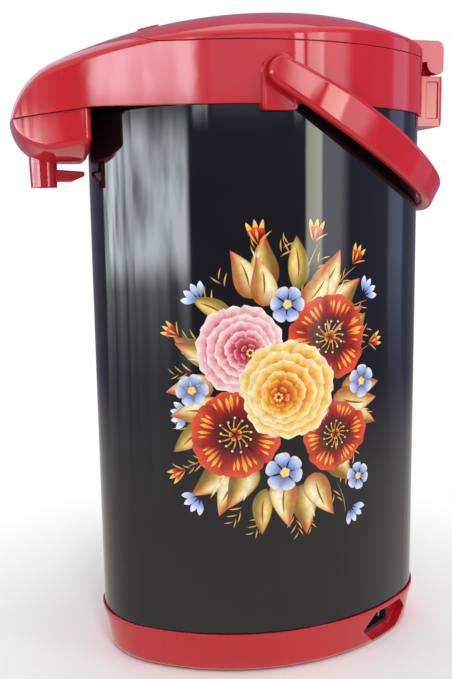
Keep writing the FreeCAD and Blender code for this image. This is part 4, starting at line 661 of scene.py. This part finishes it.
def full_bloom(u, v, size, layer, first, outer, inner, lean):
    """Full bloom of six close rings round a warm heart that leans to one side."""
    for step, (count, share) in enumerate(BLOOM_RINGS):
        petal = outer if step < OUTER_RINGS else inner
        spot = ahead(u, v, lean, RING_LEAN * size * (1 - share))
        ring(petal, spot, count, share * size, layer + step, first + RING_TURN * step)
    heart = ahead(u, v, lean, HEART_LEAN * size)
    for i in range(HEART_GRAINS):
        spot = ahead(*heart, first + HEART_GRAIN_TURN * i, HEART_RADIUS * size)
        put("pollen", *spot, 0, HEART_GRAIN * size, layer + len(BLOOM_RINGS))


SMALL_HEART_GRAIN = 0.26
SMALL_HEART_RADIUS = 0.14


def small_bloom(u, v, size, layer, first):
    ring("blue_petals", (u, v), 6, size, layer, first)
    ring("pollen", (u, v), 5, SMALL_HEART_GRAIN * size, layer + 1, first, SMALL_HEART_RADIUS * size)


# Root as a share of the leaf's length, lean in degrees and length of the light strokes on a leaf
LEAF_LIGHTS = ((0.22, 16, 0.34), (0.34, 12, 0.36), (0.46, 6, 0.34))
LEAF_SHADE = 0.55


def leaf(u, v, heading, size, layer):
    put("gold_leaves", u, v, heading, size, layer)
    for root, lean, reach in LEAF_LIGHTS:
        put("leaf_lights", *ahead(u, v, heading + 3, root * size), heading + lean, reach * size, layer + 1)


def wheat_leaf(u, v, heading, size, layer):
    put("wheat_leaves", u, v, heading, size, layer)
    put("leaf_shades", *ahead(u, v, heading + 4, 0.22 * size), heading + 2, LEAF_SHADE * size, layer + 1)


def narrow_leaf(u, v, heading, size, layer):
    put("olive_leaves", u, v, heading, size, layer)
    put("leaf_shades", *ahead(u, v, heading + 3, 0.25 * size), heading + 4, LEAF_SHADE * size, layer + 1)


# Lean in degrees, root and length as shares of the bud's size, and layer
BUD_MARKS = (("flame_strokes", -20, 0.0, 1.1, 1), ("flame_strokes", 20, 0.0, 1.1, 1),
             ("flame_strokes", 0, 0.0, 1.1, 1), ("poppy_petals", 0, 0.0, 0.75, 2),
             ("flame_strokes", 0, 0.1, 0.6, 3), ("gold_strokes", -38, 0.0, 0.8, 3),
             ("gold_strokes", 38, 0.0, 0.8, 3))


def bud(u, v, heading, size):
    """Closed bud: overlapping flames and a petal in a cup of two gold sepals."""
    for name, lean, root, reach, layer in BUD_MARKS:
        put(name, *ahead(u, v, heading, root * size), heading + lean, reach * size, layer)


SPRAY_STEP = 0.32
SPRAY_LEAN = 34
SPRAY_TAPER = 0.08


def spray(u, v, heading, count, size):
    """Short gold strokes that fan out along a twig."""
    for i in range(count):
        spot = ahead(u, v, heading, i * size * SPRAY_STEP)
        lean = SPRAY_LEAN if i % 2 else -SPRAY_LEAN
        put("gold_strokes", *spot, heading + lean, size * (1 - SPRAY_TAPER * i), 0)


STEM_BEND = 8
SPRIG_REACH = 20
SPRIG_STEM = 23
SPRIG_LEANS = (-40, -14, 14, 40)
SPRIG_PETAL = 10
SPRIG_PETAL_ROOT = 3


def stem(u, v, root):
    """Bent stem from its root up to (u, v)."""
    reach = math.hypot(u - root[0], v - root[1])
    lean = math.degrees(math.atan2(root[0] - u, v - root[1]))
    put("stems", *root, lean + STEM_BEND, reach, 0)


def frost_sprig(u, v, heading):
    """Four frosty petals on a short stem."""
    root = ahead(u, v, heading + 180 - STEM_BEND, SPRIG_REACH)
    put("stems", *root, heading - STEM_BEND, SPRIG_STEM, 0)
    for lean in SPRIG_LEANS:
        spot = ahead(u, v, heading + lean, SPRIG_PETAL_ROOT)
        put("frost_petals", *spot, heading + lean, SPRIG_PETAL, 3)


BOUQUET_MIDDLE = (-9.0, 182.0)
# Place, size and first petal's heading
SMALL_BLOOMS = ((-63, 183, 10, 40), (47, 183, 10, 0), (-7, 131, 12, 12), (-5, 234, 11, 25), (45, 122, 9, 10))
# Place, heading, size and the stem's root
BUDS = ((-22, 269, 10, 14, (-12, 226)), (12, 270, -10, 13, (2, 226)), (40, 256, -28, 12, (18, 232)),
        (-70, 216, 62, 11, (-50, 206)), (53, 206, -74, 11, (38, 196)), (-68, 134, 122, 11, (-50, 146)))
# Place and heading
FROST_SPRIGS = ((-56, 236, 44), (47, 236, -50), (-58, 118, 132), (38, 104, 218), (-64, 168, 94))


def outline(half_width, half_height, count, first):
    """Headings and spots round an oval about the bouquet's middle."""
    for i in range(count):
        heading = first + 360 * i / count + chance.uniform(-5, 5)
        turn = math.radians(heading)
        u = BOUQUET_MIDDLE[0] - half_width * math.sin(turn)
        v = BOUQUET_MIDDLE[1] + half_height * math.cos(turn)
        yield heading, u, v


for i, (heading, u, v) in enumerate(outline(half_width=41, half_height=62, count=18, first=10)):
    draw_leaf = (leaf, wheat_leaf, narrow_leaf)[i % 3]
    heading += (24, -22, 4)[i % 3] + chance.uniform(-10, 10)
    draw_leaf(u, v, heading, chance.uniform(27, 33), OVERLAP * i)
for i, (heading, u, v) in enumerate(outline(half_width=35, half_height=54, count=9, first=22)):
    draw_leaf = (wheat_leaf, leaf)[i % 2]
    heading += (-30, 30)[i % 2] + chance.uniform(-10, 10)
    draw_leaf(u, v, heading, chance.uniform(28, 34), 3 + OVERLAP * i)
for heading, u, v in outline(half_width=54, half_height=80, count=24, first=4):
    spray(u, v, heading + chance.uniform(-20, 20), count=chance.randint(3, 5), size=8.5)
full_bloom(-34, 208, size=26, layer=5, first=8, outer="pink_petals", inner="rose_petals", lean=250)
poppy(-37, 156, size=28, layer=5, first=14)
poppy(23, 213, size=27, layer=5, first=-20)
poppy(27, 152, size=23, layer=5, first=36)
full_bloom(-4, 182, size=30, layer=12, first=0, outer="yellow_petals", inner="amber_petals", lean=120)
for u, v, size, first in SMALL_BLOOMS:
    small_bloom(u, v, size, layer=7, first=first)
for u, v, heading, size, root in BUDS:
    bud(u, v, heading, size)
    stem(u, v, root)
for u, v, heading in FROST_SPRIGS:
    frost_sprig(u, v, heading)


def marks_tree():
    """Geometry nodes that set a brush mark on every place, turned and sized by the place's own values."""
    tree = bpy.data.node_groups.new("marks_on_places", "GeometryNodeTree")
    face = tree.interface
    face.new_socket("Places", in_out="INPUT", socket_type="NodeSocketGeometry")
    face.new_socket("Mark", in_out="INPUT", socket_type="NodeSocketObject")
    face.new_socket("Enamel", in_out="INPUT", socket_type="NodeSocketMaterial")
    face.new_socket("Result", in_out="OUTPUT", socket_type="NodeSocketGeometry")
    start, end = add(tree, "NodeGroupInput"), add(tree, "NodeGroupOutput")
    mark = add(tree, "GeometryNodeObjectInfo")
    wire(tree, start, "Mark", mark, "Object")
    angle = add(tree, "GeometryNodeInputNamedAttribute", data_type="FLOAT")
    angle.inputs["Name"].default_value = "turn"
    size = add(tree, "GeometryNodeInputNamedAttribute", data_type="FLOAT")
    size.inputs["Name"].default_value = "size"
    axis = add(tree, "ShaderNodeCombineXYZ")
    wire(tree, angle, "Attribute", axis, "Z")
    turn = add(tree, "FunctionNodeEulerToRotation")
    wire(tree, axis, "Vector", turn, "Euler")
    spots = add(tree, "GeometryNodeMeshToPoints")
    wire(tree, start, "Places", spots, "Mesh")
    scatter = add(tree, "GeometryNodeInstanceOnPoints")
    wire(tree, spots, "Points", scatter, "Points")
    wire(tree, mark, "Geometry", scatter, "Instance")
    wire(tree, turn, "Rotation", scatter, "Rotation")
    wire(tree, size, "Attribute", scatter, "Scale")
    whole = add(tree, "GeometryNodeRealizeInstances")
    wire(tree, scatter, "Instances", whole, "Geometry")
    coat = add(tree, "GeometryNodeSetMaterial")
    wire(tree, whole, "Geometry", coat, "Geometry")
    wire(tree, start, "Enamel", coat, "Material")
    wire(tree, coat, "Geometry", end, "Result")
    return tree


def bent_on_shell(u, v, lift):
    """Point of the flat layout on the shell's broad side, raised by lift."""
    turn = u * MM / SIDE_RADIUS
    reach = SIDE_RADIUS + lift * MM
    return Vector((SHELL_HALF_WIDTH - SIDE_RADIUS + reach * math.cos(turn), reach * math.sin(turn), v * MM))


def enamel_finish():
    material, tree, shader = new_finish("bouquet_enamel", IOR=1.5)
    place = add(tree, "ShaderNodeTexCoord")
    pigment = add(tree, "ShaderNodeAttribute", attribute_name=PAINT)
    streak = noise(tree, place, scale=260.0, output="Object")
    tone = spread(tree, streak, "Fac", low=0.3, high=0.7, to_low=0.82, to_high=1.12)
    brushed = add(tree, "ShaderNodeVectorMath", operation="SCALE")
    wire(tree, pigment, "Color", brushed, 0)
    wire(tree, tone, "Result", brushed, "Scale")
    wire(tree, brushed, "Vector", shader, "Base Color")
    marks = group_node(tree, MARKS, place)
    gloss = spread(tree, marks, "Smear", low=0.0, high=1.0, to_low=0.06, to_high=0.11)
    wire(tree, gloss, "Result", shader, "Roughness")
    skin = group_node(tree, SKIN, place)
    bump(tree, skin, "Height", shader, strength=0.06, depth=0.2 * MM)
    return material


def painted(name, mark, spots, tree, enamel):
    """All marks of one kind as a thin film on the shell."""
    mesh = bpy.data.meshes.new(name)
    mesh.from_pydata([(u, v, PAINT_LIFT + PAINT_LAYER * layer) for u, v, turn, size, layer in spots], [], [])
    mesh.attributes.new("turn", "FLOAT", "POINT").data.foreach_set("value", [s[2] for s in spots])
    mesh.attributes.new("size", "FLOAT", "POINT").data.foreach_set("value", [s[3] for s in spots])
    made = linked(name, mesh)
    modifier = made.modifiers.new("marks", "NODES")
    modifier.node_group = tree
    for socket in tree.interface.items_tree:
        if socket.in_out == "INPUT" and socket.name == "Mark":
            modifier[socket.identifier] = mark
        if socket.in_out == "INPUT" and socket.name == "Enamel":
            modifier[socket.identifier] = enamel
    bpy.context.view_layer.update()
    flat = bpy.data.meshes.new_from_object(made.evaluated_get(bpy.context.evaluated_depsgraph_get()))
    made.modifiers.remove(modifier)
    made.data = flat
    for vertex in flat.vertices:
        vertex.co = bent_on_shell(*vertex.co)
    shape = bmesh.new()
    shape.from_mesh(flat)
    bmesh.ops.remove_doubles(shape, verts=shape.verts, dist=MERGE_DISTANCE)
    shape.to_mesh(flat)
    shape.free()
    for face in flat.polygons:
        face.use_smooth = True
    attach(made, "pot")


MARKS_TREE = marks_tree()
ENAMEL = enamel_finish()
for name, mark in MOTIFS.items():
    painted("bouquet_" + name, mark, places[name], MARKS_TREE, ENAMEL)
for mark in MOTIFS.values():
    bpy.data.objects.remove(mark)


# Stage: pale floor, white surround, a room that only gloss shows, soft boxes

# Painted light on the floor, seen only in gloss: a painted glow near the pot and painted shade farther off
NEAR_FLOOR_PAINTED_LIGHT = (0.86, 0.80, 0.76, 1.0)
FAR_FLOOR_PAINTED_SHADE = (0.26, 0.24, 0.35, 1.0)
ROOM = (0.26, 0.24, 0.35)
ROOM_RADIUS = 2.6
ROOM_HEIGHT = 3.0
FLOOR_RADIUS = 6.0
FLOOR_COLOUR = (0.86, 0.86, 0.86, 1.0)
# Distances from the pot between which the floor turns white, dims in gloss and takes up the glows
WHITENS = (0.12, 0.34)
DIMS = (0.25, 1.1)
TAKES_GLOWS = (0.35, ROOM_RADIUS)
WORLD_LEVEL = 0.70
LAMP_AIM = Vector((0.0, 0.0, 0.22))
GLOW_FADE = 0.16
GLOW_REST = 0.12
# Azimuths about the pot in degrees, heights in metres, brightness at the floor (foot) and above it (level)
# A pattern's scales round and up the wall, with its start, break a glow up as a view through a window does
Glow = namedtuple("Glow", "middle half soft low high foot level colour pattern", defaults=(None,))
GLOWS = (
    Glow(middle=-79.0, half=41.0, soft=2.0, low=0.0, high=0.50, foot=2.2, level=11.0,
         colour=(0.92, 1.00, 1.04), pattern=(5.4, 2.2, 3.0)),
    Glow(middle=-30.4, half=3.9, soft=0.4, low=0.56, high=1.10, foot=0.0, level=9.4,
         colour=(0.90, 1.00, 1.08), pattern=(22.0, 1.2, 8.7)),
    Glow(middle=-4.0, half=21.0, soft=4.0, low=0.56, high=1.30, foot=0.0, level=0.9,
         colour=(0.90, 0.96, 1.10)),
    Glow(middle=-150.0, half=40.0, soft=10.0, low=0.56, high=2.40, foot=0.0, level=0.55,
         colour=(1.00, 0.92, 0.90)),
    Glow(middle=30.5, half=4.6, soft=1.0, low=0.0, high=0.60, foot=2.0, level=6.4,
         colour=(1.00, 1.02, 0.84)),
    Glow(middle=30.5, half=4.6, soft=1.0, low=0.60, high=1.10, foot=0.0, level=3.4,
         colour=(0.92, 0.98, 1.08)),
    Glow(middle=21.5, half=2.4, soft=0.8, low=0.56, high=1.10, foot=0.0, level=6.0,
         colour=(1.00, 1.00, 1.00)),
    Glow(middle=40.5, half=8.5, soft=5.0, low=0.0, high=1.30, foot=0.7, level=2.2,
         colour=(0.95, 1.00, 1.06)),
    Glow(middle=89.0, half=7.0, soft=2.0, low=0.0, high=1.30, foot=0.5, level=0.7,
         colour=(0.80, 1.00, 1.50)),
    Glow(middle=70.0, half=40.0, soft=30.0, low=0.0, high=1.30, foot=0.14, level=0.14,
         colour=(0.10, 0.40, 1.00)),
)


def glow_band():
    """1 within half a width of a centre azimuth, 0 outside, with a soft edge."""
    inputs = [(label, "NodeSocketFloat", 0.0) for label in ("Azimuth", "Centre", "Half", "Soft")]
    tree, start, end = shader_group("glow_band", inputs, ["Band"])
    away = combined(tree, "SUBTRACT", (start, "Azimuth"), (start, "Centre"))
    size = combined(tree, "ABSOLUTE", (away, "Value"))
    band = spread(tree, size, "Value", 0.0, 1.0, 1.0, 0.0, smooth=True)
    for operation, socket in (("SUBTRACT", "From Min"), ("ADD", "From Max")):
        edge = combined(tree, operation, (start, "Half"), (start, "Soft"))
        wire(tree, edge, "Value", band, socket)
    wire(tree, band, "Result", end, "Band")
    return tree


GLOW_BAND = glow_band()


def glow_strength(tree, glow, azimuth, spot):
    """Brightness of one glow at a spot."""
    band = add(tree, "ShaderNodeGroup", node_tree=GLOW_BAND)
    wire(tree, azimuth, "Value", band, "Azimuth")
    for label, value in (("Centre", glow.middle), ("Half", glow.half), ("Soft", glow.soft)):
        band.inputs[label].default_value = math.radians(value)
    rising = spread(tree, spot, "Z", glow.low, glow.low + GLOW_FADE, glow.foot, glow.level, smooth=True)
    ending = spread(tree, spot, "Z", glow.high, glow.high + GLOW_FADE, 1.0, GLOW_REST, smooth=True)
    strength = combined(tree, "MULTIPLY", (band, "Band"), (rising, "Result"))
    strength = combined(tree, "MULTIPLY", (strength, "Value"), (ending, "Result"))
    if glow.pattern is None:
        return strength
    round_wall = add(tree, "ShaderNodeCombineXYZ")
    round_wall.inputs["Z"].default_value = 1.0
    wire(tree, azimuth, "Value", round_wall, "X")
    wire(tree, spot, "Z", round_wall, "Y")
    view = noise(tree, round_wall, scale=1.0, stretch=glow.pattern)
    broken = spread(tree, view, "Fac", low=0.36, high=0.60, to_low=0.25)
    return combined(tree, "MULTIPLY", (strength, "Value"), (broken, "Result"))


def glow_light(tree, place, glows):
    """Colour of the glows at a spot, by its azimuth about the pot and its height."""
    spot = add(tree, "ShaderNodeSeparateXYZ")
    wire(tree, place, "Object", spot, "Vector")
    azimuth = combined(tree, "ARCTAN2", (spot, "Y"), (spot, "X"))
    light = add(tree, "ShaderNodeCombineXYZ")
    for glow in glows:
        shine = add(tree, "ShaderNodeVectorMath", operation="SCALE")
        shine.inputs[0].default_value = glow.colour
        wire(tree, glow_strength(tree, glow, azimuth, spot), "Value", shine, "Scale")
        light = combined(tree, "ADD", (shine, "Vector"), (light, "Vector"), kind="ShaderNodeVectorMath")
    return light


def bare_material(name):
    """Material with nothing in it but its output."""
    material = bpy.data.materials.new(name)
    material.use_nodes = True
    tree = material.node_tree
    tree.nodes.clear()
    return material, tree, add(tree, "ShaderNodeOutputMaterial")


def either(tree, mask, output, first, second):
    """The first shader where the mask is 0 and the second where it is 1."""
    node = add(tree, "ShaderNodeMixShader")
    wire(tree, mask, output, node, "Fac")
    wire(tree, first, 0, node, 1)
    wire(tree, second, 0, node, 2)
    return node


def lit_floor(tree, path, reach):
    """Matt near the pot, where its shadow lies, and white for the camera farther out."""
    matt = add(tree, "ShaderNodeBsdfDiffuse")
    matt.inputs["Color"].default_value = FLOOR_COLOUR
    fade = spread(tree, reach, "Value", *WHITENS, smooth=True)
    seen = combined(tree, "MULTIPLY", (fade, "Result"), (path, "Is Camera Ray"))
    return either(tree, seen, "Value", matt, add(tree, "ShaderNodeEmission"))


def mirrored_floor(tree, place, reach):
    """What gloss shows of the floor, all painted light: a painted glow near the pot that dims with distance,
    and painted pools of the glows that reach down to it.
    """
    dim = add(tree, "ShaderNodeMix", data_type="RGBA")
    wire(tree, spread(tree, reach, "Value", *DIMS, smooth=True), "Result", dim, "Factor")
    dim.inputs["A"].default_value = NEAR_FLOOR_PAINTED_LIGHT
    dim.inputs["B"].default_value = FAR_FLOOR_PAINTED_SHADE
    # Painted pools of window light on the floor
    painted_window_light = add(tree, "ShaderNodeVectorMath", operation="SCALE")
    low_glows = [glow for glow in GLOWS if glow.foot > 0.0]
    wire(tree, glow_light(tree, place, low_glows), "Vector", painted_window_light, 0)
    wire(tree, spread(tree, reach, "Value", *TAKES_GLOWS), "Result", painted_window_light, "Scale")
    whole = combined(tree, "ADD", (painted_window_light, "Vector"), (dim, "Result"), kind="ShaderNodeVectorMath")
    shine = add(tree, "ShaderNodeEmission")
    wire(tree, whole, "Vector", shine, "Color")
    return shine


def floor():
    """Pale floor, clear from below."""
    bpy.ops.mesh.primitive_circle_add(vertices=96, radius=FLOOR_RADIUS, fill_type="NGON",
                                      location=(0, 0, cad_low.z))
    made = bpy.context.object
    made.name = "floor"
    material, tree, output = bare_material("pale_floor")
    place = add(tree, "ShaderNodeTexCoord")
    reach = combined(tree, "LENGTH", (place, "Object"), kind="ShaderNodeVectorMath")
    path = add(tree, "ShaderNodeLightPath")
    lit, mirrored = lit_floor(tree, path, reach), mirrored_floor(tree, place, reach)
    above = either(tree, path, "Is Glossy Ray", lit, mirrored)
    side = add(tree, "ShaderNodeNewGeometry")
    whole = either(tree, side, "Backfacing", above, add(tree, "ShaderNodeBsdfTransparent"))
    wire(tree, whole, "Shader", output, "Surface")
    made.data.materials.append(material)


def surround():
    """White for the camera, a plain soft level for the light on the pot."""
    world = bpy.data.worlds.new("studio")
    bpy.context.scene.world = world
    world.use_nodes = True
    tree = world.node_tree
    back = tree.nodes["Background"]
    back.inputs["Color"].default_value = (1.0, 1.0, 1.0, 1.0)
    path = add(tree, "ShaderNodeLightPath")
    seen = combined(tree, "ADD", (path, "Is Camera Ray"), (path, "Is Glossy Ray"))
    seen = combined(tree, "ADD", (seen, "Value"), (path, "Is Transmission Ray"))
    wire(tree, spread(tree, seen, "Value", 0.0, 1.0, WORLD_LEVEL, 1.0), "Result", back, "Strength")


def room():
    """Round wall that only reflections see: a dim room with a garden window and narrow lights."""
    bpy.ops.mesh.primitive_cylinder_add(vertices=128, radius=ROOM_RADIUS, depth=ROOM_HEIGHT,
                                        end_fill_type="NOTHING")
    made = bpy.context.object
    made.name = "room"
    made.data.transform(Matrix.Translation((0, 0, ROOM_HEIGHT / 2)))
    material, tree, output = bare_material("room")
    material.cycles.emission_sampling = "NONE"
    place = add(tree, "ShaderNodeTexCoord")
    whole = combined(tree, "ADD", (glow_light(tree, place, GLOWS), "Vector"), kind="ShaderNodeVectorMath")
    whole.inputs[1].default_value = ROOM
    shine = add(tree, "ShaderNodeEmission")
    wire(tree, whole, "Vector", shine, "Color")
    wire(tree, shine, "Emission", output, "Surface")
    made.data.materials.append(material)
    made.visible_camera = False
    made.visible_diffuse = False
    made.visible_shadow = False
    made.visible_transmission = False


def soft_box(name, azimuth, distance, height, size, level):
    """Rectangular lamp at an azimuth in degrees from +X towards +Y; level is its brightness, white being 1.
    Gloss doesn't show the lamps, only the room's glows."""
    light = bpy.data.lights.new(name, "AREA")
    light.shape = "RECTANGLE"
    light.size, light.size_y = size
    light.energy = level * math.pi * size[0] * size[1]
    made = linked(name, light)
    turn = math.radians(azimuth)
    made.location = (distance * math.cos(turn), distance * math.sin(turn), height)
    made.rotation_mode = "QUATERNION"
    made.rotation_quaternion = (LAMP_AIM - made.location).to_track_quat("-Z", "Y")
    made.visible_camera = False
    made.visible_glossy = False


surround()
floor()
room()
soft_box("left_window", azimuth=-60, distance=1.8, height=2.1, size=(0.55, 1.3), level=1.5)
soft_box("front_window", azimuth=-4, distance=1.9, height=2.1, size=(0.60, 1.1), level=9.4)
soft_box("right_strip", azimuth=46, distance=1.8, height=1.1, size=(0.20, 1.3), level=3.4)
soft_box("rear_strip", azimuth=92, distance=1.8, height=0.75, size=(0.20, 1.3), level=2.4)
soft_box("far_window", azimuth=190, distance=1.8, height=0.8, size=(0.8, 1.2), level=1.6)
soft_box("overhead", azimuth=30, distance=0.5, height=2.0, size=(1.2, 1.2), level=0.9)


# Camera at the photograph's angle, for an image of 452 x 679

CAMERA_SPOT = Vector((0.5552, -0.17556, 0.28963))
CAMERA_FORWARD = Vector((-0.95349, 0.26257, -0.14804))
CAMERA_UP = Vector((-0.13872, 0.05378, 0.98887))
CAMERA_LENS = 45.82
SENSOR_WIDTH = 36.0
lens = bpy.data.cameras.new("camera")
lens.lens = CAMERA_LENS
lens.sensor_width = SENSOR_WIDTH
camera = linked("camera", lens)
back = -CAMERA_FORWARD.normalized()
side = CAMERA_UP.cross(back).normalized()
upward = back.cross(side)
camera.matrix_world = Matrix.Translation(CAMERA_SPOT) @ Matrix((side, upward, back)).transposed().to_4x4()
bpy.context.scene.camera = camera
bpy.context.scene.view_settings.view_transform = "Standard"
